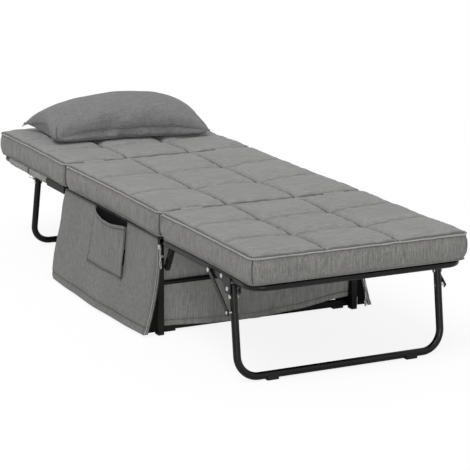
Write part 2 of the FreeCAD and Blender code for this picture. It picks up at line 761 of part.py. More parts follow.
def u_leg(name, half_x, pivot_y, splay, outward, studs):
    """Folding U leg, its floor pads and the bolts and studs that ride on it."""
    low = "Dims.pad_thick + Dims.leg_radius"
    depth = f"(({PIVOT_Z} - ({low})) / cos({splay}))"
    tube = u_tube("Dims.leg_radius", "Dims.leg_wall", half_x, "Dims.leg_overhang", depth, "Dims.leg_bend")
    lean = 90 - val(splay)
    if outward == "-1":
        turn = FreeCAD.Rotation(X_AXIS, lean)
    else:
        turn = FreeCAD.Rotation(X_AXIS, -lean).multiply(FreeCAD.Rotation(Z_AXIS, 180))
    place(tube, ("0", pivot_y, PIVOT_Z), turn)

    def on_leg(drop):
        y = f"{pivot_y} + {outward} * {drop} * sin({splay})"
        return y, f"{PIVOT_Z} - {drop} * cos({splay})"

    holes = [("Dims.pivot_radius + Dims.running_gap", pivot_y, PIVOT_Z)]
    lock_y, lock_z = on_leg("Dims.lock_bolt_drop")
    holes.append(("Dims.bolt_radius + Dims.running_gap", lock_y, lock_z))
    if studs:
        stud_y, stud_z = on_leg("Dims.brace_stud_drop")
        holes.append(("Dims.pivot_radius + Dims.running_gap", stud_y, stud_z))
    node(drilled(tube, holes), f"{name}_leg_tube")

    fasteners = []
    for side in ("-1", "1"):
        low_x = f"{side} * ({half_x}) - Dims.leg_radius"
        high_x = f"{side} * ({half_x}) + Dims.leg_radius"
        fasteners.append(bolt("Dims.bolt_radius", low_x, high_x, lock_y, lock_z))
        if studs:
            reach = f"{BRACE_OUT} + 2"
            x = f"-({reach})" if side == "-1" else low_x
            long = f"{reach} - {half_x} + Dims.leg_radius"
            fasteners.append(rod("Dims.pivot_radius", long, (x, stud_y, stud_z), ALONG_X))
    node(group(fasteners), f"{name}_leg_bolts")

    pads = []
    foot_y = f"{pivot_y} + {outward} * ({depth}) * sin({splay})"
    for side in ("-1", "1"):
        x = f"{side} * (({half_x}) - Dims.pad_inset) - Dims.pad_width / 2"
        block = box(
            ("Dims.pad_width", "2 * Dims.leg_radius", "Dims.leg_radius + Dims.pad_thick"),
            (x, f"{foot_y} - Dims.leg_radius", "0"),
        )
        seat = rod(
            "Dims.leg_radius",
            "Dims.pad_width + 2",
            (f"{x} - 1", foot_y, "Dims.leg_radius + Dims.pad_thick"),
            ALONG_X,
        )
        pads.append(cut(block, seat))
    node(group(pads), f"{name}_leg_pads")


# Outer face of the diagonal braces, outside the gusset plates and their bolt heads
PLATE_OUT = f"({FRONT_LEG_X} + Dims.plate_gap + Dims.plate_thick)"
BRACE_IN = f"({PLATE_OUT} + Dims.head_thick + 0.5)"
BRACE_OUT = f"({BRACE_IN} + Dims.brace_thick)"


def front_gussets():
    """Pairs of plates that hang from the foot rails and hold the front leg's pivot."""
    datum_y = f"({FRONT_PIVOT_Y} - 20)"
    datum_z = f"({PIVOT_Z} - 20)"
    hang = f"({RAIL_Z} - {PIVOT_Z})"
    corners = [
        ("6", "6"),
        ("33", "6"),
        ("46", f"20 + {hang} - 16"),
        (f"29 + Dims.brace_reach", f"20 + {hang} - 5"),
        (f"29 + Dims.brace_reach", f"20 + {hang} + 5"),
        ("6", f"20 + {hang} + 5"),
    ]
    bolt_hole = "Dims.bolt_radius + Dims.running_gap"
    rail_bolt = "55"
    holes = [("Dims.pivot_radius + Dims.running_gap", "20", "20")]
    holes += [(bolt_hole, along, f"20 + {hang}") for along in (rail_bolt, "20 + Dims.brace_reach")]
    fasteners = []
    for name, side in (("left", "-1"), ("right", "1")):
        pair = []
        outer = f"({side} * {FRONT_LEG_X} + {side} * Dims.plate_gap)"
        inner = f"({side} * {FRONT_LEG_X} - {side} * Dims.plate_gap)"
        for face, away in ((outer, side), (inner, "1" if side == "-1" else "-1")):
            piece = plate(corners, "Dims.plate_thick", holes)
            x = face if away == "1" else f"{face} - Dims.plate_thick"
            pair.append(place(piece, (x, datum_y, datum_z), UPRIGHT))
        node(group(pair), f"foot_gusset_{name}")
        low_x = f"{side} * {FRONT_LEG_X} - Dims.plate_gap - Dims.plate_thick"
        high_x = f"{side} * {FRONT_LEG_X} + Dims.plate_gap + Dims.plate_thick"
        fasteners.append(
            bolt("Dims.pivot_radius", low_x, high_x, FRONT_PIVOT_Y, PIVOT_Z)
        )
        fasteners.append(bolt("Dims.bolt_radius", low_x, high_x, f"{datum_y} + {rail_bolt}", RAIL_Z))
        brace_y = f"({FRONT_PIVOT_Y} + Dims.brace_reach)"
        ends = (f"-({BRACE_OUT} + 0.3)", high_x) if side == "-1" else (low_x, f"{BRACE_OUT} + 0.3")
        fasteners.append(bolt("Dims.bolt_radius", *ends, brace_y, RAIL_Z))
    node(group(fasteners), "foot_frame_bolts")
    rail_holes = [(bolt_hole, f"{datum_y} + {rail_bolt}", RAIL_Z)]
    rail_holes.append((bolt_hole, f"{FRONT_PIVOT_Y} + Dims.brace_reach", RAIL_Z))
    return rail_holes


def front_braces():
    """Diagonal braces from the foot rail to a stud on the leg, hooked on from above."""
    half = "Dims.brace_width / 2"
    length = val(BRACE_LENGTH)
    down = math.degrees(math.atan2(val(BRACE_DROP), val(BRACE_RUN)))
    for name, side in (("left", "-1"), ("right", "1")):
        strip = box(
            (f"{BRACE_LENGTH} + Dims.brace_width", "Dims.brace_width", "Dims.brace_thick"),
            (f"-({half})", f"-({half})", "0"),
        )
        eye = rod("Dims.bolt_radius + Dims.running_gap", "Dims.brace_thick", ("0", "0", "0"))
        seat = rod("Dims.pivot_radius + 0.3", "Dims.brace_thick", (BRACE_LENGTH, "0", "0"))
        # The mouth opens downward and towards the rail, so that the stud swings out of it
        mouth = box(
            ("2 * Dims.pivot_radius + 7", "Dims.brace_width", "Dims.brace_thick"),
            (f"{BRACE_LENGTH} - Dims.pivot_radius - 6.7", "0", "0"),
        )
        shape = cut(strip, fuse([eye, seat, mouth]))
        # Local x runs down along the brace to -Y; local y points to the lower edge
        spin = FreeCAD.Rotation(X_AXIS, down).multiply(
            FreeCAD.Rotation(
                FreeCAD.Vector(0, -1, 0), FreeCAD.Vector(0, 0, -1), FreeCAD.Vector(1, 0, 0), "ZXY"
            )
        )
        x = f"-{BRACE_OUT}" if side == "-1" else BRACE_IN
        at = (x, f"{FRONT_PIVOT_Y} + Dims.brace_reach", RAIL_Z)
        node(place(shape, at, spin), f"front_brace_{name}")


def stop_arms():
    """Slanted arms under the foot rails that bear on studs inside the base legs."""
    lean = val("Dims.stop_arm_lean")
    foot_y = f"({FRONT_SEAM} + Dims.stop_arm_offset)"
    rise = f"({RAIL_Z} - Dims.rail_radius * 0.6 - Dims.stop_arm_height)"
    long = f"({rise} / cos(Dims.stop_arm_lean))"
    reach = f"({RAIL_X} - Dims.rail_radius - 0.1)"
    inner = f"({reach} - Dims.stop_arm_thick)"
    width = "Dims.stop_arm_width"
    bolt_up = "25"
    stud_up = "12"
    gap = f"({width} / 2 + Dims.stop_stud_radius + 0.3)"
    studs = []
    for name, side in (("left", "-1"), ("right", "1")):
        tube = box_tube(("Dims.stop_arm_thick", width, long), ("0", f"-{width} / 2", "0"), 2)
        x = f"-{reach}" if side == "-1" else inner
        arm = place(tube, (x, foot_y, "Dims.stop_arm_height"), FreeCAD.Rotation(X_AXIS, lean))
        bolt_y = f"{foot_y} - {bolt_up} * sin(Dims.stop_arm_lean)"
        bolt_z = f"Dims.stop_arm_height + {bolt_up} * cos(Dims.stop_arm_lean)"
        drilled_arm = drilled(arm, [("Dims.bolt_radius", bolt_y, bolt_z)])
        end = f"{x} + Dims.stop_arm_thick"
        pin = bolt("Dims.bolt_radius", x, end, bolt_y, bolt_z, side == "1", side == "-1")
        node(group([drilled_arm, pin]), f"foot_stop_arm_{name}")

        stud_y = f"{foot_y} - {stud_up} * sin(Dims.stop_arm_lean) + {gap} * cos(Dims.stop_arm_lean)"
        stud_z = f"Dims.stop_arm_height + {stud_up} * cos(Dims.stop_arm_lean)"
        stud_z = f"{stud_z} + {gap} * sin(Dims.stop_arm_lean)"
        leg_face = f"({FRAME_SIDE_X} - Dims.box_tube)"
        start = f"-{leg_face}" if side == "-1" else f"{inner}"
        stud_long = f"{leg_face} - {inner}"
        studs.append(rod("Dims.stop_stud_radius", stud_long, (start, stud_y, stud_z), ALONG_X))
    node(group(studs), "leg_stop_studs")


def rear_gussets():
    """Pairs of plates on the rear cross rail that hold the rear leg's pivot."""
    datum_y = f"({REAR_PIVOT_Y} - 20)"
    datum_z = f"({PIVOT_Z} - 20)"
    hang = f"({RAIL_Z} - {PIVOT_Z})"
    corners = [("6", "8"), ("34", "8"), ("34", f"20 + {hang} + 9"), ("6", f"20 + {hang} + 9")]
    holes = [("Dims.pivot_radius + Dims.running_gap", "20", "20")]
    fasteners = []
    for name, side in (("left", "-1"), ("right", "1")):
        pair = []
        for away in ("-1", "1"):
            piece = plate(corners, "Dims.plate_thick", holes)
            face = f"({side} * {REAR_LEG_X} + {away} * Dims.plate_gap)"
            x = face if away == "1" else f"{face} - Dims.plate_thick"
            placed = place(piece, (x, datum_y, datum_z), UPRIGHT)
            bore = rod(
                "Dims.rail_radius + 0.05",
                "Dims.plate_thick + 2",
                (f"{x} - 1", REAR_PIVOT_Y, RAIL_Z),
                ALONG_X,
            )
            pair.append(cut(placed, bore))
        node(group(pair), f"back_gusset_{name}")
        low_x = f"{side} * {REAR_LEG_X} - Dims.plate_gap - Dims.plate_thick"
        high_x = f"{side} * {REAR_LEG_X} + Dims.plate_gap + Dims.plate_thick"
        fasteners.append(
            bolt("Dims.pivot_radius", low_x, high_x, REAR_PIVOT_Y, PIVOT_Z)
        )
    node(group(fasteners), "back_frame_bolts")


def half_open(cover, side, start, long):
    """Takes away what would reach above the rail or inward past its middle."""
    above = box(("60", f"{long} + 2", "30"), (f"{side} * {RAIL_X} - 30", f"{start} - 1", "Dims.frame_top"))
    inward = f"{side} * {RAIL_X} - 30" if side == "1" else f"{side} * {RAIL_X}"
    upper = box(("30", f"{long} + 2", "30"), (inward, f"{start} - 1", RAIL_Z))
    edge = f"{side} * ({RAIL_X} - Dims.rail_radius + 1)"
    inner = box(("30", f"{long} + 2", "60"), (f"{edge} - 30" if side == "1" else edge, f"{start} - 1", "Dims.frame_top - 60"))
    return cut(cover, fuse([above, upper, inner]))


def rail_covers():
    """Padded sleeves and ratchet casings on the side rails of the back section."""
    for name, side in (("left", "-1"), ("right", "1")):
        x = f"{side} * {RAIL_X}"
        start = f"({REAR_SEAM} + Dims.rail_start - Dims.plug_long + Dims.ratchet_long + Dims.sleeve_gap)"
        long = f"({HALF_TOTAL} - Dims.sleeve_end - {start})"
        outer = rod("Dims.sleeve_radius", long, (x, start, RAIL_Z), ALONG_Y)
        inner = rod("Dims.rail_radius + 0.3", long, (x, start, RAIL_Z), ALONG_Y)
        sleeve = half_open(cut(outer, inner), side, start, long)
        node(sleeve, f"back_rail_sleeve_{name}")
        size = "Dims.ratchet_size"
        begin = f"({REAR_SEAM} + Dims.rail_start - Dims.plug_long)"
        case = box(
            (size, "Dims.ratchet_long", size),
            (f"{x} - {size} / 2", begin, f"Dims.frame_top - {size}"),
        )
        bore_at = (x, f"{begin} - 1", RAIL_Z)
        bore = rod("Dims.rail_radius + 0.05", "Dims.ratchet_long + 2", bore_at, ALONG_Y)
        casing = half_open(cut(case, bore), side, begin, "Dims.ratchet_long")
        node(casing, f"back_ratchet_{name}")


def zips():
    """Zip tapes on the front edges of the side skirts, with sliders and hanging pulls."""
    strip = zip_strip()
    face_y = f"({SKIRT_FRONT_Y} - Dims.zip_thick - 0.4)"
    line = side_line(0.0)
    tapes = []
    for name, side, level in (("left", -1, 0.10), ("right", 1, 0.78)):
        tapes.append(feature(mirrored(strip) if side < 0 else strip.copy()))
        spot_x, spot_z = blend_line(line, level, level + 0.1, (0.0, 0.0, 0.0))[0]
        centre = side * (spot_x - val("Dims.zip_width") / 2)
        slider = box(
            ("Dims.slider_wide", "Dims.slider_deep", "Dims.slider_long"),
            (f"{centre} - Dims.slider_wide / 2", f"{face_y} - Dims.slider_deep", f"{spot_z} - 7"),
        )
        node(slider, f"zip_slider_{name}")
        pull = box(
            ("Dims.pull_wide", "Dims.pull_thick", "Dims.pull_long"),
            (
                f"{centre} - Dims.pull_wide / 2",
                f"{face_y} - Dims.slider_deep - 0.6 - Dims.pull_thick",
                f"{spot_z} - Dims.pull_long",
            ),
        )
        node(pull, f"zip_pull_{name}")
        print("zip", name, round(centre, 2), round(spot_z, 2), round(val(face_y), 2))
    node(group(tapes), "zip_tapes")


base_frame()
leg_brackets()
front_rail_holes = front_gussets()
foot_plugs = section_frame("foot", FRONT_SEAM, "-1", front_rail_holes)
back_plugs = section_frame("back", REAR_SEAM, "1", ())
node(group(foot_plugs), "foot_rail_plugs")
node(group(back_plugs), "back_rail_plugs")
node(seam_rail(f"{FRONT_SEAM} - {SEAM_FACE} - Dims.box_tube"), "foot_cross_rail")
node(group([seam_rail(f"{REAR_SEAM} + {SEAM_FACE}"), cross_tube(REAR_PIVOT_Y)]), "back_cross_rails")
slat_half = "({0} - sqrt(Dims.rail_radius ^ 2 - (Dims.rail_radius - Dims.slat_drop - Dims.slat_thick) ^ 2))"
slat_x = slat_half.format(RAIL_X)
slats("foot_slats", f"({FRONT_SEAM} - Dims.foot_length / 2)", "Dims.foot_length - 30", 3, slat_x)
slats("back_slats", f"({REAR_SEAM} + Dims.back_length / 2)", "Dims.back_length - 60", 3, slat_x)
seam_hinges()
stop_arms()
front_braces()
u_leg("front", FRONT_LEG_X, FRONT_PIVOT_Y, "Dims.front_splay", "-1", True)
rear_gussets()
u_leg("rear", REAR_LEG_X, REAR_PIVOT_Y, "Dims.rear_splay", "1", False)
rail_covers()

cushion("foot_cushion", f"-({HALF_TOTAL})", FRONT_SEAM)
cushion("middle_cushion", FRONT_SEAM, REAR_SEAM)
back = cushion("back_cushion", REAR_SEAM, HALF_TOTAL)
skirt = side_skirt()
node(feature(mirrored(skirt)), "side_skirt_left")
node(feature(skirt), "side_skirt_right")
pocket = side_pocket()
node(feature(mirrored(pocket)), "side_pocket_left")
node(feature(pocket), "side_pocket_right")
front_top = val(f"{SEAT_FRONT_Y} + Dims.box_tube + Dims.soft_gap")
front_back = val(f"{LEG_FRONT_Y} + 2 * Dims.mid_bar_radius + Dims.soft_gap")
node(feature(end_skirt(front_top, front_back + 0.5, front_back + 4, 1)), "front_skirt")
rear_top = val(f"{SEAT_REAR_Y} - Dims.box_tube - Dims.soft_gap")
rear_back = val(f"{LEG_REAR_Y} - 2 * Dims.mid_bar_radius - Dims.soft_gap")
node(feature(end_skirt(rear_top, rear_back - 0.5, rear_back - 4, -1)), "rear_skirt")
zips()
pillow = node(feature(pillow_shape()), "pillow")
# The pillow is let down from above until it is one soft gap from the cushion
pillow_turn = FreeCAD.Rotation(Z_AXIS, val("Dims.pillow_turn"))
above = val(f"{CUSHION_Z} + 2 * Dims.side_height + Dims.crown_rise")
pillow.Placement = FreeCAD.Placement(FreeCAD.Vector(0, val("Dims.pillow_y"), above), pillow_turn)
drop = pillow.Shape.distToShape(back.Shape)[0] - val("Dims.soft_gap")
pillow.Placement = FreeCAD.Placement(FreeCAD.Vector(0, val("Dims.pillow_y"), above - drop), pillow_turn)

doc.recompute()

os.makedirs("parts", exist_ok=True)
for obj in doc.Objects:
    if "Invalid" in obj.State or "Error" in obj.State:
        raise RuntimeError(f"{obj.Name} ({obj.Label}) is {obj.State}")
for obj in nodes:
    shape = obj.Shape
    if shape.isNull() or not shape.isValid() or not shape.Solids:
        raise RuntimeError(f"{obj.Label} has no valid solid")
for obj in nodes:
    obj.Shape.exportStep(f"parts/{obj.Label}.step")
print(len(nodes), "sub-parts written")
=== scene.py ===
import json
import math
from itertools import product

import bpy
import numpy as np
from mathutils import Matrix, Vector


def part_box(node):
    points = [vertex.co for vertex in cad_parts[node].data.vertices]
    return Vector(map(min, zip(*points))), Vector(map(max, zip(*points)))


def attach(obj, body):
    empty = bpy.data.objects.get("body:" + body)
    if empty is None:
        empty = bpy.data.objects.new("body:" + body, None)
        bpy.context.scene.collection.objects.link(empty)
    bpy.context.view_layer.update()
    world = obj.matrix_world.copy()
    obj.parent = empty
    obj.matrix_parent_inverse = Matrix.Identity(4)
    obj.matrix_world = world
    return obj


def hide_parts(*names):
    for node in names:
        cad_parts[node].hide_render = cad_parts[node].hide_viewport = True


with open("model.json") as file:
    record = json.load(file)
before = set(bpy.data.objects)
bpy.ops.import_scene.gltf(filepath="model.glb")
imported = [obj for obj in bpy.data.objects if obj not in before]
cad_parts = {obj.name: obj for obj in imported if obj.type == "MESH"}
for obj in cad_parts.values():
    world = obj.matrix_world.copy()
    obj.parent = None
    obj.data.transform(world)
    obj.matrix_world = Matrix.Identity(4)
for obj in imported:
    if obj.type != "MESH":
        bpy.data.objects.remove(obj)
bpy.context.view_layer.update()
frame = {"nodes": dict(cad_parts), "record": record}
MM = 0.001
SCENE = bpy.context.scene

# Sizes of the frame model that the soft pieces follow, in millimetres.
HALF_WIDTH = 330.0        # of a cushion
CUSHION_Z = 291.3         # underside of the cushions
BOXING = 72.0             # height of the side band, up to the piping
CROWN = 12.6              # rise of the top above the piping
CORNER = 26.0             # corner radius in plan
WAIST = 5.0               # how far the long sides are pulled in at mid length
SPANS = {"foot": (-960.0, -390.5), "middle": (-379.5, 339.5), "back": (350.5, 960.0)}
HINGE_X, HINGE_Z = 230, 366
FOOT_HINGE_Y, BACK_HINGE_Y = -385.0, 345.0
RAIL_X, RAIL_Z = 317.0, 281.5
SKIRT_TOP, SKIRT_HEM = 291.0, 8.0
SKIRT_TALL = SKIRT_TOP - SKIRT_HEM
SKIRT_FRONT, SKIRT_REAR = -372.5, 335.0
SIDES = ((-1, "left"), (1, "right"))
LINE_REACH = 20           # distance over which the stored line attribute runs from 0 to 1


# ---------------------------------------------------------------- mesh helpers

def ripple(p, size, seed, terms=7):
    """Smooth noise about -1 to 1 at points p, with waves about size long."""
    rng = np.random.default_rng(seed)
    p = np.asarray(p, float)
    out = np.zeros(len(p))
    for _ in range(terms):
        k = rng.normal(size=p.shape[1])
        k *= 2 * math.pi / (size * rng.uniform(0.7, 1.6)) / np.linalg.norm(k)
        out += np.sin(p @ k + rng.uniform(0, 2 * math.pi))
    return out / math.sqrt(terms / 2) / 1.6


def new_piece(name, verts, faces, smooth=True):
    """Mesh object from vertices in millimetres."""
    mesh = bpy.data.meshes.new(name)
    mesh.from_pydata((np.asarray(verts, float) * MM).tolist(), [], [list(map(int, f)) for f in faces])
    mesh.validate()
    mesh.polygons.foreach_set("use_smooth", [smooth] * len(mesh.polygons))
    mesh.update()
    obj = bpy.data.objects.new(name, mesh)
    SCENE.collection.objects.link(obj)
    return obj


def coords(obj):
    """Points of obj in millimetres."""
    co = np.zeros(len(obj.data.vertices) * 3, np.float32)
    obj.data.vertices.foreach_get("co", co)
    return co.reshape(-1, 3).astype(float) / MM


def set_coords(obj, points):
    obj.data.vertices.foreach_set("co", (np.asarray(points) * MM).astype(np.float32).ravel())
    obj.data.update()


def write_attr(obj, name, values):
    """Stores one number per point."""
    a = obj.data.attributes.get(name) or obj.data.attributes.new(name, "FLOAT", "POINT")
    a.data.foreach_set("value", np.asarray(values, np.float32))


def write_seam_shade(obj, distance):
    """Stores the distance to the nearest sewn line, where the cloth gets painted shade."""
    write_attr(obj, "line", np.clip(distance / LINE_REACH, 0, 1))


def drop_attrs(obj, names):
    for name in names:
        obj.data.attributes.remove(obj.data.attributes[name])


def read_attr(obj, name):
    out = np.zeros(len(obj.data.vertices), np.float32)
    obj.data.attributes[name].data.foreach_get("value", out)
    return out.astype(float)


def subdivided(obj):
    """Subdivides the mesh of obj once and writes the result into obj."""
    m = obj.modifiers.new("Subdivision", "SUBSURF")
    m.levels = m.render_levels = 1
    dg = bpy.context.evaluated_depsgraph_get()
    evaluated = obj.evaluated_get(dg)
    mesh = bpy.data.meshes.new_from_object(evaluated, preserve_all_data_layers=True, depsgraph=dg)
    obj.modifiers.clear()
    obj.data = mesh


class Kit:
    """Collects solids for one piece."""

    def __init__(self):
        self.verts, self.faces, self.mats = [], [], []

    def add(self, verts, faces, mat=0):
        start = len(self.verts)
        self.verts += [tuple(v) for v in verts]
        self.faces += [[start + i for i in f] for f in faces]
        self.mats += [mat] * len(faces)

    def tube(self, path, radius, sides=10, closed=False, mat=0, flat=1.0, up=(0, 0, 1)):
        """Round or flattened tube along a path; radius may be one number or one per point."""
        path = np.asarray(path, float)
        n = len(path)
        radii = np.full(n, radius, float) if np.isscalar(radius) else np.asarray(radius, float)
        if closed:
            tangent = np.roll(path, -1, 0) - np.roll(path, 1, 0)
        else:
            tangent = np.gradient(path, axis=0)
        tangent /= np.linalg.norm(tangent, axis=1)[:, None] + 1e-12
        side = np.cross(tangent, np.asarray(up, float))
        bad = np.linalg.norm(side, axis=1) < 1e-3
        side[bad] = np.cross(tangent[bad], (0.0, 1.0, 0.0))
        side /= np.linalg.norm(side, axis=1)[:, None]
        lift = np.cross(side, tangent)
        verts, faces = [], []
        for i in range(n):
            for k in range(sides):
                a = 2 * math.pi * k / sides
                spoke = math.cos(a) * side[i] + flat * math.sin(a) * lift[i]
                verts.append(path[i] + radii[i] * spoke)
        rows = n if closed else n - 1
        for i in range(rows):
            for k in range(sides):
                a, b = i * sides + k, i * sides + (k + 1) % sides
                c, d = ((i + 1) % n) * sides + (k + 1) % sides, ((i + 1) % n) * sides + k
                faces.append([a, b, c, d])
        if not closed:
            faces.append(list(range(sides))[::-1])
            faces.append([(n - 1) * sides + k for k in range(sides)])
        self.add(verts, faces, mat)

    def block(self, low, high, soft=0.6, mat=0):
        """Box with chamfered edges."""
        lo, hi = np.asarray(low, float), np.asarray(high, float)
        s = min(soft, 0.45 * float((hi - lo).min()))
        verts, faces, index = [], [], {}
        for cell in product((0, 1), repeat=3):
            is_low = np.array(cell) == 0
            corner, inward = np.where(is_low, lo, hi), np.where(is_low, s, -s)
            for axis in range(3):
                p = corner + inward
                p[axis] = corner[axis]
                index[(*cell, axis)] = len(verts)
                verts.append(p)

        def face(cells, axes, turned):
            f = [index[(*c, a)] for c, a in zip(cells, axes)]
            faces.append(f[::-1] if turned else f)

        for axis in range(3):
            u, v = (axis + 1) % 3, (axis + 2) % 3
            for end in (0, 1):
                cells = []
                for a, b in ((0, 0), (1, 0), (1, 1), (0, 1)):
                    c = [0, 0, 0]
                    c[axis], c[u], c[v] = end, a, b
                    cells.append(c)
                face(cells, [axis] * 4, not end)
        for axis in range(3):
            u, v = (axis + 1) % 3, (axis + 2) % 3
            for a, b in product((0, 1), repeat=2):
                c0, c1 = [0, 0, 0], [0, 0, 0]
                c1[axis] = 1
                c0[u] = c1[u] = a
                c0[v] = c1[v] = b
                face([c0, c1, c1, c0], [u, u, v, v], a != b)
        for cell in product((0, 1), repeat=3):
            face([cell] * 3, range(3), sum(cell) % 2 == 0)
        self.add(verts, faces, mat)

    def piece(self, name, mats, smooth=True):
        obj = new_piece(name, self.verts, self.faces, smooth)
        for m in mats:
            obj.data.materials.append(m)
        obj.data.polygons.foreach_set("material_index", self.mats)
        obj.data.update()
        return obj


def ring(centre, axis, radius, n=16):
    """Points of a circle round an axis (0, 1 or 2)."""
    u, v = (axis + 1) % 3, (axis + 2) % 3
    pts = np.tile(np.asarray(centre, float), (n, 1))
    a = 2 * math.pi * np.arange(n) / n
    pts[:, u] += radius * np.cos(a)
    pts[:, v] += radius * np.sin(a)
    return pts


def two_sided(outer, normal_in, thick, cols):
    """Closed thin cloth: an outer grid and its copy pushed inward, joined all round."""
    outer = np.asarray(outer, float)
    n = len(outer)
    rows = n // cols
    inner = outer + normal_in * thick
    verts = np.vstack([outer, inner])
    faces = []
    for r in range(rows - 1):
        for c in range(cols - 1):
            a, b, d, e = r * cols + c, r * cols + c + 1, (r + 1) * cols + c + 1, (r + 1) * cols + c
            faces.append([a, b, d, e])
            faces.append([n + a, n + e, n + d, n + b])
    rim = list(range(cols))
    rim += [r * cols + cols - 1 for r in range(1, rows)]
    rim += [(rows - 1) * cols + c for c in range(cols - 2, -1, -1)]
    rim += [r * cols for r in range(rows - 2, 0, -1)]
    for i, a in enumerate(rim):
        b = rim[(i + 1) % len(rim)]
        faces.append([a, n + a, n + b, b])
    return verts, faces


def unit_grid(cols, rows):
    """Shares across and down, 0 to 1, at the points of a grid."""
    return [g.ravel() for g in np.meshgrid(np.linspace(0, 1, cols), np.linspace(0, 1, rows))]


def grid_normals(points, cols):
    """Unit normal at each point of a grid."""
    g = np.asarray(points, float).reshape(-1, cols, 3)
    du = np.gradient(g, axis=1)
    dv = np.gradient(g, axis=0)
    n = np.cross(du, dv).reshape(-1, 3)
    return n / (np.linalg.norm(n, axis=1)[:, None] + 1e-12)


def thin_cloth(name, outer, cols, axis, inward, thick, turned, finish):
    """Piece of thin cloth from its outer grid; its inner face lies towards inward along axis."""
    normal = grid_normals(outer, cols)
    normal *= np.sign(normal[:, axis:axis + 1]) * inward
    verts, faces = two_sided(outer, normal, thick, cols)
    obj = new_piece(name, verts, [f[::-1] for f in faces] if turned else faces)
    obj.data.materials.append(finish)
    return obj


def dip(distance, width):
    """1 at distance 0, falling off over width."""
    return np.exp(-((distance / width) ** 2))


# ---------------------------------------------------------------- materials

class Nodes:
    def __init__(self, name):
        self.mat = bpy.data.materials.new(name)
        self.mat.use_nodes = True
        self.tree = self.mat.node_tree
        self.shader = self.tree.nodes["Principled BSDF"]

    def add(self, kind, **props):
        n = self.tree.nodes.new(kind)
        for k, v in props.items():
            setattr(n, k, v)
        return n

    def link(self, a, b):
        self.tree.links.new(a, b)

    def noise(self, scale, stretch=(1, 1, 1), detail=3.0, rough=0.55):
        coord = self.add("ShaderNodeTexCoord")
        mapping = self.add("ShaderNodeMapping")
        mapping.inputs["Scale"].default_value = stretch
        self.link(coord.outputs["Object"], mapping.inputs["Vector"])
        n = self.add("ShaderNodeTexNoise")
        n.inputs["Scale"].default_value = scale
        n.inputs["Detail"].default_value = detail
        n.inputs["Roughness"].default_value = rough
        self.link(mapping.outputs["Vector"], n.inputs["Vector"])
        return n.outputs["Fac"]

    def math(self, op, a, b=0.0, clamp=False):
        n = self.add("ShaderNodeMath", operation=op, use_clamp=clamp)
        for slot, v in ((0, a), (1, b)):
            if hasattr(v, "links"):
                self.link(v, n.inputs[slot])
            else:
                n.inputs[slot].default_value = v
        return n.outputs[0]

    def span(self, value, a, b, c=0.0, d=1.0, smooth=False):
        n = self.add("ShaderNodeMapRange", interpolation_type="SMOOTHSTEP" if smooth else "LINEAR")
        self.link(value, n.inputs["Value"])
        for key, v in (("From Min", a), ("From Max", b), ("To Min", c), ("To Max", d)):
            n.inputs[key].default_value = v
        return n.outputs["Result"]

    def mix(self, factor, a, b, kind="MIX"):
        n = self.add("ShaderNodeMix", data_type="RGBA", blend_type=kind)
        for key, v in ((0, factor), (6, a), (7, b)):
            if hasattr(v, "links"):
                self.link(v, n.inputs[key])
            else:
                n.inputs[key].default_value = v if key == 0 else (*v[:3], 1.0)
        return n.outputs[2]

    def attr(self, name):
        return self.add("ShaderNodeAttribute", attribute_name=name).outputs["Fac"]

    def bump(self, height, strength, distance):
        n = self.add("ShaderNodeBump")
        n.inputs["Strength"].default_value = strength
        n.inputs["Distance"].default_value = distance
        self.link(height, n.inputs["Height"])
        self.link(n.outputs["Normal"], self.shader.inputs["Normal"])


def linen(name, light, dark, lie, seam_shade=True):
    """Heathered plain weave. lie gives the share of threads seen along x, y and z."""
    m = Nodes(name)
    fine = [m.noise(1, s, 2.0) for s in ((90, 900, 900), (900, 90, 900), (900, 900, 90))]
    broad = [m.noise(1, s, 2.5) for s in ((16, 300, 300), (300, 16, 300), (300, 300, 16))]
    total = None
    for group, weight in ((fine, 0.45), (broad, 0.55)):
        for value, share in zip(group, lie):
            part = m.math("MULTIPLY", value, share * weight)
            total = part if total is None else m.math("ADD", total, part)
    heather = m.span(total, 0.40, 0.60)
    colour = m.mix(heather, dark, light)
    cloud = m.span(m.noise(7, (1, 1, 1), 2.0), 0.35, 0.65, 0.965, 1.035)
    tone = m.add("ShaderNodeHueSaturation")
    m.link(colour, tone.inputs["Color"])
    m.link(cloud, tone.inputs["Value"])
    colour = tone.outputs["Color"]
    if seam_shade:
        # painted shade: a broad soft darkening towards each sewn line, then a narrow dark line in the seam
        # itself
        for full, none, depth, darkest in ((0.05, 0.85, 0.16, 0.35), (0.05, 0.24, 0.88, 0.22)):
            near = m.span(m.attr("line"), full, none, 1.0, 0.0, True)
            near = m.math("MULTIPLY", near, depth)
            colour = m.mix(near, colour, tuple(c * darkest for c in dark))
    m.link(colour, m.shader.inputs["Base Color"])
    m.shader.inputs["Roughness"].default_value = 0.92
    m.shader.inputs["Specular IOR Level"].default_value = 0.18
    m.shader.inputs["Sheen Weight"].default_value = 0.12
    m.shader.inputs["Sheen Roughness"].default_value = 0.5
    weave = m.math("ADD", m.math("MULTIPLY", fine[0], 0.5), m.math("MULTIPLY", fine[1], 0.5))
    weave = m.math("ADD", weave, m.math("MULTIPLY", fine[2], 0.5))
    weave = m.math("ADD", weave, m.math("MULTIPLY", total, 0.8))
    m.bump(weave, 0.35, 0.0006)
    return m.mat


def steel_black():
    m = Nodes("satin_black_steel")
    grain = m.noise(420, (1, 1, 1), 2.0)
    wear = m.span(m.noise(9, (1, 1, 1), 4.0), 0.35, 0.7)
    coat = m.mix(wear, (0.0025, 0.0025, 0.0025), (0.006, 0.006, 0.0055))
    m.link(coat, m.shader.inputs["Base Color"])
    m.link(m.span(wear, 0, 1, 0.24, 0.36), m.shader.inputs["Roughness"])
    m.shader.inputs["Metallic"].default_value = 0.0
    m.shader.inputs["Specular IOR Level"].default_value = 0.24
    m.bump(grain, 0.12, 0.0003)
    return m.mat


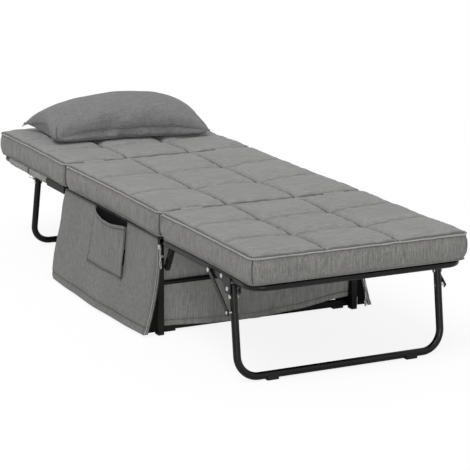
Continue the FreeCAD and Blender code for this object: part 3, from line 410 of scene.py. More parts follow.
def steel_bright():
    m = Nodes("zinc_bolt")
    grain = m.noise(160, (1, 1, 6), 3.0)
    m.link(m.mix(grain, (0.50, 0.50, 0.48), (0.78, 0.78, 0.76)), m.shader.inputs["Base Color"])
    m.link(m.span(grain, 0.3, 0.7, 0.24, 0.42), m.shader.inputs["Roughness"])
    m.shader.inputs["Metallic"].default_value = 1.0
    m.bump(grain, 0.1, 0.0003)
    return m.mat


def plastic():
    m = Nodes("matt_black_plastic")
    grain = m.noise(300, (1, 1, 1), 3.0)
    m.link(m.mix(grain, (0.006, 0.006, 0.006), (0.013, 0.013, 0.012)), m.shader.inputs["Base Color"])
    m.link(m.span(grain, 0.3, 0.7, 0.48, 0.62), m.shader.inputs["Roughness"])
    m.shader.inputs["Specular IOR Level"].default_value = 0.22
    m.bump(grain, 0.25, 0.0003)
    return m.mat


def dust_cloth(name, dark, light):
    m = Nodes(name)
    spots = m.noise(900, (1, 1, 1), 2.0)
    m.link(m.mix(spots, (dark,) * 3, (light,) * 3), m.shader.inputs["Base Color"])
    m.shader.inputs["Roughness"].default_value = 0.95
    m.shader.inputs["Specular IOR Level"].default_value = 0.05
    m.bump(spots, 0.3, 0.0004)
    return m.mat


# light thread, dark thread, and the lie of the threads
FLAT_LIE, UPRIGHT_LIE, SKIRT_LIE = (0.68, 0.22, 0.10), (0.12, 0.18, 0.70), (0.15, 0.20, 0.65)
# one linen in copies of different tone: the lighter top copy and the darker boxing and skirt copies are
# painted light and shade for flat and upright faces
LINEN_TOP = linen("linen_top", (0.322, 0.322, 0.318), (0.195, 0.195, 0.192), FLAT_LIE)
LINEN_BOX = linen("linen_boxing", (0.240, 0.238, 0.227), (0.118, 0.117, 0.111), UPRIGHT_LIE)
LINEN_SKIRT = linen("linen_skirt", (0.205, 0.204, 0.198), (0.100, 0.0995, 0.096), SKIRT_LIE)
# end skirt copy of the skirt linen, half again as light: painted light that lifts the end skirts out of
# the shade under the bed
LINEN_END_PAINTED_LIGHT = linen("linen_end_skirt_painted_light", (0.310, 0.308, 0.300), (0.160, 0.159, 0.154), SKIRT_LIE)
LINEN_PILLOW = linen("linen_pillow", (0.240, 0.240, 0.238), (0.132, 0.132, 0.131), (0.45, 0.30, 0.25))
LINEN_CORD = linen("linen_piping", (0.40, 0.395, 0.38), (0.24, 0.237, 0.228), (0.4, 0.3, 0.3), seam_shade=False)
LINEN_SLEEVE = linen("sleeve_cloth", (0.29, 0.287, 0.272), (0.17, 0.168, 0.160), (0.3, 0.4, 0.3),
                     seam_shade=False)
TAPE = linen("zip_tape_cloth", (0.10, 0.10, 0.098), (0.045, 0.045, 0.044), (0.2, 0.2, 0.6), seam_shade=False)
STEEL, BRIGHT, PLASTIC = steel_black(), steel_bright(), plastic()
DUST, NEAR_BLACK_CLOTH = dust_cloth("dust_cloth", 0.015, 0.05), dust_cloth("near_black_cloth", 0.003, 0.010)

FINISH = {
    "frame_steel": STEEL, "bolt_steel": BRIGHT, "black_plastic": PLASTIC, "cushion": LINEN_TOP,
    "pillow_cloth": LINEN_PILLOW, "skirt_cloth": LINEN_SKIRT, "sleeve_cloth": LINEN_SLEEVE,
    "zip_tape": TAPE, "zip_metal": BRIGHT,
}
SLOT_OF = {entry["node"]: entry["material_slot"] for entry in frame["record"]["subparts"]}
for node, carried in frame["nodes"].items():
    finish = FINISH[SLOT_OF.get(node, "frame_steel")]
    if not carried.material_slots:
        carried.data.materials.append(finish)
    for material_slot in carried.material_slots:
        material_slot.link = "OBJECT"
        material_slot.material = finish


def placed(obj, body, slot, *nodes):
    """Ties a piece to its body and hides the frame nodes it stands for; slot is not used."""
    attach(obj, body)
    if nodes:
        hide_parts(*nodes)


# ---------------------------------------------------------------- cushions

def rounded(u, v, hx, hy, r):
    """Square grid points moved so that the corners are round."""
    a, b = np.abs(u) - (hx - r), np.abs(v) - (hy - r)
    inside = (a > 0) & (b > 0)
    big = np.maximum(a, b)
    size = np.sqrt(np.where(inside, a * a + b * b, 1.0))
    k = np.where(inside, big / np.maximum(size, 1e-9), 1.0)
    x = np.where(inside, np.sign(u) * (hx - r + a * k), u)
    y = np.where(inside, np.sign(v) * (hy - r + b * k), v)
    return x, y


def outward(x, y, hx, hy, r):
    """Outward direction in plan at points of the outline."""
    a, b = np.maximum(np.abs(x) - (hx - r), 0), np.maximum(np.abs(y) - (hy - r), 0)
    size = np.maximum(np.hypot(a, b), 1e-9)
    return np.sign(x) * a / size, np.sign(y) * b / size


def puff(u, v, hx, hy):
    """Height of the sewn top above its piping; it has three by three panels."""
    seam, crown = 8.5, CROWN + 5
    a, b = (u / hx + 1) * 1.5, (v / hy + 1) * 1.5
    fa, fb = np.abs(np.sin(math.pi * a)) ** 0.45, np.abs(np.sin(math.pi * b)) ** 0.45
    ha, hb = np.clip(np.minimum(a, 3 - a), 0, 1), np.clip(np.minimum(b, 3 - b), 0, 1)
    z = -5.0 * ha * hb
    return z + seam * (fa * hb * (1 - fb) + fb * ha * (1 - fa)) + crown * fa * fb * 0.9


def simulate(obj, pins, pressure, frames, shrink, cap, stiff=12.0, bend=0.4):
    """Cloth under pressure with its sewn points held; no point moves more than cap."""
    rest = coords(obj)
    group = obj.vertex_groups.new(name="sewn")
    group.add([int(i) for i in pins], 1.0, "REPLACE")
    m = obj.modifiers.new("Cloth", "CLOTH")
    s = m.settings
    s.quality = 5
    s.mass = 0.3
    s.tension_stiffness = s.compression_stiffness = stiff
    s.shear_stiffness = stiff * 0.6
    s.bending_stiffness = bend
    s.tension_damping = s.compression_damping = s.shear_damping = 8
    s.air_damping = 2
    s.vertex_group_mass = "sewn"
    s.use_pressure = True
    s.uniform_pressure_force = pressure
    s.shrink_min = shrink
    s.effector_weights.gravity = 0
    m.collision_settings.use_collision = False
    m.point_cache.frame_start = 1
    m.point_cache.frame_end = frames
    SCENE.frame_start, SCENE.frame_end = 1, frames
    for f in range(1, frames + 1):
        SCENE.frame_set(f)
    dg = bpy.context.evaluated_depsgraph_get()
    ev = obj.evaluated_get(dg).data
    co = np.zeros(len(ev.vertices) * 3, np.float32)
    ev.vertices.foreach_get("co", co)
    moved = co.reshape(-1, 3).astype(float) / MM
    obj.modifiers.clear()
    obj.vertex_groups.clear()
    SCENE.frame_set(1)
    if not np.isfinite(moved).all():
        moved = rest
    step = moved - rest
    size = np.linalg.norm(step, axis=1)
    step *= np.minimum(1.0, cap / np.maximum(size, 1e-9))[:, None]
    set_coords(obj, rest + step)


def cushion_piece(name, node, body, y0, y1, rows, seed, foot_edge=False):
    """Boxed cushion with three by three sewn panels, and its piping."""
    hx, hy, cy = HALF_WIDTH, (y1 - y0) / 2, (y0 + y1) / 2
    nx, ny, nz = 84, rows, 9
    us = np.linspace(-hx, hx, nx + 1)
    vs = np.linspace(-hy, hy, ny + 1)
    gu, gv = [g.ravel() for g in np.meshgrid(us, vs)]
    count = len(gu)
    rim = [(i, 0) for i in range(nx)] + [(nx, j) for j in range(ny)]
    rim += [(i, ny) for i in range(nx, 0, -1)] + [(0, j) for j in range(ny, 0, -1)]
    rim_id = np.array([j * (nx + 1) + i for i, j in rim])
    # first the top, then the underside, then the rows of the side band
    pu = np.concatenate([gu, gu, np.tile(gu[rim_id], nz - 1)])
    pv = np.concatenate([gv, gv, np.tile(gv[rim_id], nz - 1)])
    band_h = np.repeat(np.arange(1, nz) * BOXING / nz, len(rim))
    ph = np.concatenate([np.full(count, BOXING), np.zeros(count), band_h])
    x, y = rounded(pu, pv, hx, hy, CORNER)
    x *= 1 - WAIST / hx * (1 - (y / hy) ** 2)
    z = CUSHION_Z + ph
    z[:count] += puff(gu, gv, hx, hy)
    sides = slice(2 * count, None)
    ox, oy = outward(*rounded(pu[sides], pv[sides], hx, hy, CORNER), hx, hy, CORNER)
    swell = 3.0 * np.sin(math.pi * ph[sides] / BOXING)
    x[sides] += ox * swell
    y[sides] += oy * swell

    def level(k):
        if k == 0:
            return count + rim_id
        if k == nz:
            return rim_id
        return 2 * count + (k - 1) * len(rim) + np.arange(len(rim))

    faces, mats = [], []
    for j in range(ny):
        for i in range(nx):
            a = j * (nx + 1) + i
            q = [a, a + 1, a + nx + 2, a + nx + 1]
            faces += [q, [count + k for k in q[::-1]]]
            mats += [0, 2]
    for k in range(nz):
        lo, hi = level(k), level(k + 1)
        for a in range(len(rim)):
            b = (a + 1) % len(rim)
            faces.append([lo[a], lo[b], hi[b], hi[a]])
            mats.append(1)
    obj = new_piece(name, np.column_stack([x, y + cy, z]), faces)
    for m in (LINEN_TOP, LINEN_BOX, DUST):
        obj.data.materials.append(m)
    obj.data.polygons.foreach_set("material_index", mats)
    write_attr(obj, "pu", pu)
    write_attr(obj, "pv", pv)
    write_attr(obj, "ph", ph)

    third_i, third_j = nx // 3, ny // 3
    ii, jj = np.arange(count) % (nx + 1), np.arange(count) // (nx + 1)
    channels = (ii % third_i == 0) | (jj % third_j == 0)
    sewn = channels | (ii == 0) | (ii == nx) | (jj == 0) | (jj == ny)
    pins = np.concatenate([np.nonzero(sewn)[0], np.arange(count, 2 * count)])
    simulate(obj, pins, 2.2, 20, -0.015, 22, stiff=15.0, bend=3.0)
    subdivided(obj)

    pu, pv, ph = read_attr(obj, "pu"), read_attr(obj, "pv"), read_attr(obj, "ph")
    p = coords(obj)
    top = ph > BOXING - 0.05
    side = ~top & (ph > 0.05)
    du = np.minimum(np.abs(pu - hx / 3), np.abs(pu + hx / 3))
    dv = np.minimum(np.abs(pv - hy / 3), np.abs(pv + hy / 3))
    seam = np.minimum(du, dv)
    edge = np.minimum(hx - np.abs(pu), hy - np.abs(pv))
    along = np.where(du < dv, pv, pu)
    flank_u = np.sign(pu - np.sign(pu) * hx / 3)
    flank_v = np.sign(pv - np.sign(pv) * hy / 3)
    flank = np.where(du < dv, flank_u, flank_v)
    cross = np.hypot(du, dv)
    turn = np.arctan2(dv * np.sign(np.abs(pv) - hy / 3), du * np.sign(np.abs(pu) - hx / 3))
    fade = np.clip(edge / 6, 0, 1)
    plane = np.column_stack([pu, pv])
    # soft lumps, puckers beside the seams, the seam groove, the tuft where two seams cross
    lump = 0.9 * ripple(plane, 120, seed) + 0.2 * ripple(plane, 40, seed + 1)
    gather = np.sin(2 * math.pi * (along + 5 * ripple(plane, 60, seed + 2)) / 17 + flank * 1.3)
    dz = lump * np.clip(seam / 25, 0, 1) * fade
    dz += 0.22 * gather * np.exp(-seam / 13) * (1 - dip(seam, 3.5)) * fade
    dz -= 4.2 * dip(seam, 3.6) * fade + 2.4 * dip(seam, 12) * fade
    dz -= 3.2 * dip(cross, 10)
    dz += 0.35 * np.cos(7 * turn + seed) * dip(cross - 15, 10)
    # the stitched edge inside the piping and its puckers
    dz -= 1.0 * dip(edge - 5.5, 2.2)
    rim_gather = np.sin(2 * math.pi * (pu + pv + 6 * ripple(plane, 70, seed + 3)) / 21)
    dz += 0.22 * rim_gather * dip(edge - 16, 10)
    if foot_edge:
        inset = pv + hy
        wob = 2.0 * ripple(plane[:, :1], 160, seed + 4)
        near = np.clip((hx - np.abs(pu)) / 40, 0, 1)
        dz += near * (1.8 * dip(inset - 13 - wob, 6) - 2.2 * dip(inset - 24 - wob, 3.5))
    p[:, 2] += np.where(top, dz, 0)
    # the right-hand panels stand a little fuller
    limit = CUSHION_Z + BOXING + CROWN + 4 * np.clip((pu - 110) / 160, 0, 1)
    fuller = 4.5 * np.clip((pu - 110) / 120, 0, 1) * np.clip(edge / 30, 0, 1)
    p[:, 2] += np.where(top, fuller * np.clip(seam / 30, 0, 1), 0)
    over = np.maximum(p[:, 2] - (limit - 3), 0)
    eased = np.minimum(p[:, 2], limit - 3) + 3 * (1 - np.exp(-over / 3))
    p[:, 2] = np.where(top, eased, p[:, 2])

    # side band: ripples, a groove at the corner seams, the lower edge rolled under
    run = np.where(np.abs(pu) > hx - 0.6, pv, pu)
    band = np.column_stack([run, ph])
    out_x, out_y = outward(*rounded(pu, pv, hx, hy, CORNER), hx, hy, CORNER)
    diag = np.abs((hx - np.abs(pu)) - (hy - np.abs(pv)))
    from_corner = np.where(edge < 0.6, diag, 60.0)
    puckers = np.sin(2 * math.pi * (run + 8 * ripple(band, 80, seed + 6)) / 19)
    at_edges = np.exp(-np.minimum(ph, BOXING - ph) / 12)
    dn = 0.7 * ripple(band, 70, seed + 5) + 0.35 * puckers * at_edges
    dn *= np.sin(math.pi * np.clip(ph / BOXING, 0, 1)) ** 0.5
    dn -= 1.6 * dip(from_corner, 3.2)
    roll = 15 + 4 * ripple(band[:, :1], 210, seed + 8)
    dn -= 9.0 * np.clip(1 - ph / roll, 0, 1) ** 2.0
    dn += 1.1 * dip(from_corner - 12, 6) * np.sin(math.pi * ph / BOXING)
    p[:, 0] += np.where(side, out_x * dn, 0)
    p[:, 1] += np.where(side, out_y * dn, 0)
    set_coords(obj, p)

    # painted shade: darker towards the seams, the stitched edge inside the piping, the top of the side
    # band and its corner seams
    line = np.minimum(seam + (1 - fade) * 6, np.abs(edge - 5.5) + 0.6)
    line = np.where(top, np.minimum(line, np.maximum(cross - 2.0, 0)), LINE_REACH)
    line = np.where(side, np.minimum(BOXING - ph, from_corner * 1.2 + 0.3), line)
    write_seam_shade(obj, line)
    drop_attrs(obj, ("pu", "pv", "ph"))

    rx, ry = rounded(gu[rim_id], gv[rim_id], hx, hy, CORNER)
    wx, wy = outward(rx, ry, hx, hy, CORNER)
    rx = rx * (1 - WAIST / hx * (1 - (ry / hy) ** 2))
    welt = Kit()
    wobble = 0.5 * ripple(np.column_stack([rx, ry]), 45, seed + 7)
    path = np.column_stack([rx + wx * 0.9, ry + cy + wy * 0.9, CUSHION_Z + BOXING + 0.5 + wobble])
    welt.tube(path, 2.1, 8, True)
    cord = welt.piece(f"{name}_piping", [LINEN_CORD])
    placed(obj, body, "cushion", node)
    placed(cord, body, "cushion")


cushion_piece("foot_cushion_upholstery", "foot_cushion", "foot_section", *SPANS["foot"], 72, 11, True)
cushion_piece("middle_cushion_upholstery", "middle_cushion", "base", *SPANS["middle"], 90, 23)
cushion_piece("back_cushion_upholstery", "back_cushion", "back_section", *SPANS["back"], 78, 37)


def pipe_wall(faces, n, sides, round_first):
    """Faces of a two-layered pipe of n rings; round_first gives the order of each face's points."""
    block = n * sides
    for layer in (0, 1):
        for i in range(n - 1):
            for k in range(sides):
                a = layer * block + i * sides + k
                b = layer * block + i * sides + (k + 1) % sides
                q = [a, b, b + sides, a + sides] if round_first else [a, a + sides, b + sides, b]
                faces.append(q if layer == 0 else q[::-1])
    for i in (0, n - 1):
        for k in range(sides):
            a, b = i * sides + k, i * sides + (k + 1) % sides
            q = [a, block + a, block + b, b] if round_first else [a, b, block + b, block + a]
            faces.append(q if i == 0 else q[::-1])


def hinge_cover(name, body, seam_y, seed):
    """Cloth sleeves wrapped round the hinge knuckles in the seam between two cushions."""
    k = Kit()
    for side in (-1, 1):
        n, sides = 26, 16
        verts, faces = [], []
        xs = np.linspace(side * HINGE_X - 34, side * HINGE_X + 34, n)
        for layer, radius in ((0, 5.5), (1, 4.75)):
            for i, x in enumerate(xs):
                close = 1 - (0.10 if layer == 0 else 0) * math.exp(-min(i, n - 1 - i) / 1.4)
                for j in range(sides):
                    a = 2 * math.pi * j / sides
                    r = radius * close + (0.2 * math.sin(x / 4.0 + 2 * a + seed) if layer == 0 else 0)
                    verts.append((x, seam_y + r * math.cos(a), HINGE_Z + r * math.sin(a)))
        pipe_wall(faces, n, sides, True)
        k.add(verts, faces)
    obj = k.piece(name, [LINEN_CORD])
    placed(obj, body, "cushion")


hinge_cover("foot_hinge_cover", "base", FOOT_HINGE_Y, 1)
hinge_cover("back_hinge_cover", "base", BACK_HINGE_Y, 2)


# ---------------------------------------------------------------- pillow

def pillow_piece():
    """Loose pillow: two panels sewn together all round, and the seam."""
    low, high = [np.array(v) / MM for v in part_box("pillow")]
    half_long, half_deep = 286, 150
    nx, ny = 80, 44
    us, vs = np.linspace(-1, 1, nx + 1), np.linspace(-1, 1, ny + 1)
    gu, gv = [g.ravel() for g in np.meshgrid(us, vs)]
    count = len(gu)
    ii, jj = np.arange(count) % (nx + 1), np.arange(count) // (nx + 1)
    rim = (ii == 0) | (ii == nx) | (jj == 0) | (jj == ny)
    inner = ~rim
    lower = np.full(count, -1)
    lower[rim] = np.nonzero(rim)[0]
    lower[inner] = count + np.arange(inner.sum())
    au, av = np.concatenate([gu, gu[inner]]), np.concatenate([gv, gv[inner]])
    is_low = np.concatenate([np.zeros(count, bool), np.ones(inner.sum(), bool)])
    dome = ((1 - np.abs(au) ** 2.8) * (1 - np.abs(av) ** 2.4)) ** np.where(is_low, 0.42, 0.58)
    pinch_x = 1 - 0.055 * (1 - np.abs(au) ** 2) * np.abs(av) ** 3
    x = 292 * au * (1 - 0.06 * (1 - av ** 2) * np.abs(au) ** 4)
    y = 154 * av * (1 - 0.075 * (1 - au ** 2) * np.abs(av) ** 4) * pinch_x
    z = np.where(is_low, -50 * dome * (1 + 0.10 * au), 86 * dome * (1 + 0.16 * au))
    faces = []
    for j in range(ny):
        for i in range(nx):
            a = j * (nx + 1) + i
            q = [a, a + 1, a + nx + 2, a + nx + 1]
            faces += [q, [int(lower[k]) for k in q[::-1]]]
    obj = new_piece("pillow_cover", np.column_stack([x, y, z]), faces)
    obj.data.materials.append(LINEN_PILLOW)
    write_attr(obj, "pu", au)
    write_attr(obj, "pv", av)
    write_attr(obj, "pl", is_low.astype(float))
    simulate(obj, [], 2.2, 20, -0.05, 28, stiff=14, bend=0.3)
    subdivided(obj)

    au, av, low_side = read_attr(obj, "pu"), read_attr(obj, "pv"), read_attr(obj, "pl")
    p = coords(obj)
    p -= (p.max(0) + p.min(0)) / 2
    to_end, to_side = (1 - np.abs(au)) * half_long, (1 - np.abs(av)) * half_deep
    edge, corner = np.minimum(to_end, to_side), np.hypot(to_end, to_side)
    cut = np.abs(to_end - to_side)
    plane = np.column_stack([au * half_long, av * half_deep])
    side = np.where(low_side > 0.5, -1.0, 1.0)
    # soft waves, puckers along the seam, folds fanning out from the corners
    wave = 1.6 * ripple(plane, 120, 5) + 0.8 * ripple(plane, 48, 6)
    run = np.where(to_end < to_side, av * half_deep, au * half_long)
    tuck = 1.3 * np.sin(2 * math.pi * (run + 9 * ripple(plane, 90, 7)) / 33) * dip(edge - 13, 13)
    fan = 2.2 * np.cos(5.5 * np.arctan2(to_side, to_end) * 2 + au * 2) * dip(corner - 45, 26)
    p[:, 2] += side * (wave * np.clip(edge / 40, 0, 1) + tuck + fan * np.clip(edge / 12, 0, 1))
    p[:, 2] -= side * 1.2 * dip(edge - 3.2, 2.6)
    p[:, 2] -= side * 4.0 * dip(cut, 7) * np.exp(-((corner / 46) ** 4))
    # both ends fall away, and the left tips are drawn down and in
    above = np.maximum(p[:, 2] - p[edge < 0.3, 2].mean(), 0)
    left, right = np.clip((0.15 - au) / 1.15, 0, 1), np.clip((au - 0.35) / 0.65, 0, 1)
    p[:, 2] -= above * (0.12 * left ** 1.2 + 0.30 * right ** 1.2)
    to_left, to_right = np.clip(-au, 0, 1), np.clip(au, 0, 1)
    to_rear, to_front = np.clip(av, 0, 1), np.clip(-av, 0, 1)
    rear_tip, front_tip = to_left ** 4 * to_rear ** 3, to_left ** 4 * to_front ** 4
    p += np.outer(rear_tip, (-10.0, 6.0, -17.0)) + np.outer(front_tip, (46.0, 14.0, -8.0))
    p[:, 2] -= 5.0 * to_left ** 1.5 + 11.0 * to_right ** 3 + 10.0 * to_front ** 1.5
    p[:, 1] -= 9.0 * low_side * to_front ** 1.5 * np.clip((1 + av) * 9, 0, 1)
    p[:, 0] -= 22.0 * to_right ** 4
    p *= np.array([574, 306, 142]) / (p.max(0) - p.min(0))
    p -= (p.max(0) + p.min(0)) / 2
    # the underside lies flat on the cushion
    base = -70 + 24
    p[:, 2] += np.maximum(base - p[:, 2], 0) * 0.8
    droop = np.clip(corner / 130, 0, 1)
    p[:, 2] -= (1 - droop) * 10 * (1 - low_side)
    p *= np.array([1, 1, 140 / (p[:, 2].max() - p[:, 2].min())])

    yaw = math.radians(-6.6)
    x = p[:, 0] * math.cos(yaw) - p[:, 1] * math.sin(yaw)
    y = p[:, 0] * math.sin(yaw) + p[:, 1] * math.cos(yaw)
    centre = (low + high) / 2
    y = low[1] - 18 + (y - y.min()) / (y.max() - y.min()) * (high[1] - low[1] + 16)
    p = np.column_stack([x + centre[0], y, p[:, 2] - p[:, 2].min() + low[2] - 1.0])
    set_coords(obj, p)
    # painted shade along the edge seam and the diagonal folds at the corners
    dart = cut * 0.8 + np.maximum(corner - 48, 0) * 0.3 + 0.4
    write_seam_shade(obj, np.minimum(edge + 2.2, dart + 0.8))
    rim_now = np.nonzero(edge < 0.3)[0]
    order = rim_now[np.argsort(np.arctan2(av[rim_now], au[rim_now]))]
    welt = Kit()
    welt.tube(p[order], 0.9, 6, True)
    cord = welt.piece("pillow_seam", [LINEN_PILLOW])
    write_attr(cord, "line", np.full(len(cord.data.vertices), 1.0))
    drop_attrs(obj, ("pu", "pv", "pl"))
    placed(obj, "pillow_body", "pillow_cloth", "pillow")
    placed(cord, "pillow_body", "pillow_cloth")


pillow_piece()


# ---------------------------------------------------------------- skirts and pockets

def skirt_x(share, depth):
    """Outer face of a side skirt, as a distance from the middle plane.

    share runs from the front edge to the rear one, depth from the top to the hem."""
    reach = 46 + 8 * share + 48 * share * (1 - share)
    power = 2.2 - 1.35 * share

    def at(d):
        return 329.3 + reach * d ** power - 2.5 * np.cos(6 * math.pi * share) * d * d
    top, mid, hem = at(0.0), at(0.5), at(1.0)
    q = 2 * (hem - 2 * mid + top)
    return top + (hem - top - q) * depth + q * depth ** 2


def share_of(y):
    return (y - SKIRT_FRONT) / (SKIRT_REAR - SKIRT_FRONT)


def side_skirt_piece(side, name, node):
    cols, rows = 118, 58
    gs, gd = unit_grid(cols, rows)
    y = SKIRT_FRONT + (SKIRT_REAR - SKIRT_FRONT) * gs
    z = SKIRT_TOP + (SKIRT_HEM - SKIRT_TOP) * gd
    # round lower corner at the rear
    r = 24.0
    a, b = y - (SKIRT_REAR - r), (SKIRT_HEM + r) - z
    inside = (a > 0) & (b > 0)
    k = np.where(inside, np.maximum(a, b) / np.maximum(np.hypot(a, b), 1e-9), 1.0)
    y = np.where(inside, SKIRT_REAR - r + a * k, y)
    z = np.where(inside, SKIRT_HEM + r - b * k, z)
    share, depth = share_of(y), (SKIRT_TOP - z) / SKIRT_TALL
    down = depth * SKIRT_TALL
    x = skirt_x(share, depth)
    plane = np.column_stack([y, z])
    # soft folds, a slight bulge at the top rear, puckers below the top seam
    loose = np.sin(math.pi * np.clip(depth * 0.9, 0, 1))
    broad, small = ripple(plane * (1, 0.7), 210, 41 + side), ripple(plane * (1, 0.5), 80, 43 + side)
    x += loose * (3.6 * broad + 1.0 * small)
    x += 2.0 * np.cos(6 * math.pi * share) * depth * depth
    x += 2.5 * dip(down - 42, 40) * share ** 4
    x += 0.5 * np.sin(2 * math.pi * (y + 10 * ripple(plane, 90, 45)) / 24) * np.exp(-down / 12)
    # the hem and the front edge, turned over and stitched
    hem = z - SKIRT_HEM
    x -= 1.0 * dip(hem - 19, 2.6)
    x += 0.5 * np.clip((19 - hem) / 4, 0, 1)
    x += 0.5 * np.sin(2 * math.pi * (y + 6 * ripple(plane, 60, 47)) / 15) * dip(hem - 21, 9)
    front = y - SKIRT_FRONT
    x -= 0.8 * dip(front - 9, 2.5)
    outer = np.column_stack([side * x, y, z])
    obj = thin_cloth(name, outer, cols, 0, -side, 1.9, side < 0, LINEN_SKIRT)
    # painted shade along the stitched hem and the turned-over front edge
    stitch = np.abs(hem - 19) + 1.3
    line = np.minimum(stitch, np.minimum(np.abs(front - 9) + 0.9, LINE_REACH))
    write_seam_shade(obj, np.tile(np.minimum(line, down * 0.5), 2))
    placed(obj, "base", "skirt_cloth", node)


def pocket_piece(side, name, node, shade_sheet_name):
    """Patch pocket with a sagging mouth, and a near-black sheet behind it: painted shade seen through the
    mouth and the gap at its lifted front edge.
    """
    y0, y1, foot = -160.0, 90.0, 119.0
    wide = 250
    cols, rows = 64, 44
    gs, gd = unit_grid(cols, rows)
    bow = np.sin(math.pi * gs)
    from_side = np.minimum(gs, 1 - gs)
    y = y0 + (y1 - y0) * gs
    mouth = SKIRT_TOP - 14 + 9 * gs ** 3 - 10 * bow
    z = mouth + (foot - mouth) * gd
    lift = 1.9 + 18 * bow ** 0.8 * (1 - gd) * (1 - 0.25 * gd)
    lift += 7.0 * np.clip(1 - gs / 0.10, 0, 1) ** 0.7 * np.clip((1 - gd) / 0.25, 0, 1)
    plane = np.column_stack([y, z])
    soft = ripple(plane * (1, 0.4), 70, 51 + side)
    lift += 0.9 * soft * np.clip(from_side * 8, 0, 1) * (1 - gd ** 3)
    puckers = np.sin(2 * math.pi * (z + 6 * ripple(plane, 50, 53)) / 15)
    lift += 0.5 * puckers * dip(from_side * wide - 8, 7)
    x = skirt_x(share_of(y), (SKIRT_TOP - z) / SKIRT_TALL) + lift
    down = mouth - z
    x += 0.6 * dip(down, 7) - 0.6 * dip(down - 11, 2.5)
    outer = np.column_stack([side * x, y, z])
    obj = thin_cloth(name, outer, cols, 0, -side, 1.4, side < 0, LINEN_SKIRT)
    # painted shade along the stitching below the mouth, at both sides and at the foot
    at_sides = np.minimum(np.abs(gs * wide - 4), np.abs((1 - gs) * wide - 4)) + 0.9
    near = np.minimum(np.abs(down - 11) + 1.2, at_sides)
    near = np.minimum(near, np.abs(z - foot - 4) + 0.9)
    write_seam_shade(obj, np.tile(near, 2))
    placed(obj, "base", "skirt_cloth", node)

    # near-black sheet on the skirt behind the pocket: painted shade inside the pocket
    cols, rows = 40, 24
    gs, gd = unit_grid(cols, rows)
    y = y0 + 4 + (80 - y0 - 4) * gs
    z = 290.4 - 131 * gd
    waves = ripple(np.column_stack([y, z]), 40, 57)
    x = skirt_x(share_of(y), (SKIRT_TOP - z) / SKIRT_TALL) + 0.9 + 0.3 * waves
    outer = np.column_stack([side * x, y, z])
    shade_sheet = thin_cloth(shade_sheet_name, outer, cols, 0, -side, 0.6, side < 0, NEAR_BLACK_CLOTH)
    placed(shade_sheet, "base", "skirt_cloth")


for s, word in SIDES:
    skirt = f"side_skirt_{word}"
    side_skirt_piece(s, f"{skirt}_cloth", skirt)
    pocket_piece(s, f"side_pocket_{word}_cloth", f"side_pocket_{word}", f"side_pocket_{word}_lining")


def end_skirt_piece(name, node, half, y_top, y_mid, y_hem, inward, hem_rise, seed):
    """Skirt between two legs; inward is the sense along y in which its inner face lies."""
    top, mid = 273.0, 154.0
    cols, rows = 100, 46
    gs, gd = unit_grid(cols, rows)
    x = (2 * gs - 1) * half
    hem_z = 8 + 14 * (2 * gs - 1) ** 2 + hem_rise * np.clip((gs - 0.5) / 0.45, 0, 1) ** 1.3
    z = top + (hem_z - top) * gd
    wave = inward * 2.0 * (1 - np.cos(2 * math.pi * 4 * gs))
    # a parabola down each column, through the top, the mid bar and the hem
    m = (top - mid) / (top - hem_z)
    at_mid, at_hem = y_mid + 0.3 * wave, y_hem + wave
    y = y_top * (gd - m) * (gd - 1) / m + at_mid * gd * (gd - 1) / (m * (m - 1))
    y = y + at_hem * gd * (gd - m) / (1 - m)
    plane = np.column_stack([x, z])
    y = y + inward * gd * (1.2 + 1.2 * ripple(plane * (1, 0.3), 80, seed))
    hem = z - hem_z
    y = y + inward * 0.9 * dip(hem - 16, 2.6)
    outer = np.column_stack([x, y, z])
    obj = thin_cloth(name, outer, cols, 1, inward, 1.8, inward > 0, LINEN_END_PAINTED_LIGHT)
    # painted shade along the stitched hem
    write_seam_shade(obj, np.tile(np.abs(hem - 16) + 1.5, 2))
    placed(obj, "base", "skirt_cloth", node)


end_skirt_piece("front_skirt_cloth", "front_skirt", 307.0, -363.4, -355.7, -352.2, 1, 16, 61)
rear_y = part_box("rear_skirt")[1].y / MM
end_skirt_piece("rear_skirt_cloth", "rear_skirt", 303.0, rear_y, rear_y - 7.7, rear_y - 11.2, -1, 0, 63)


# ---------------------------------------------------------------- sleeves, zips

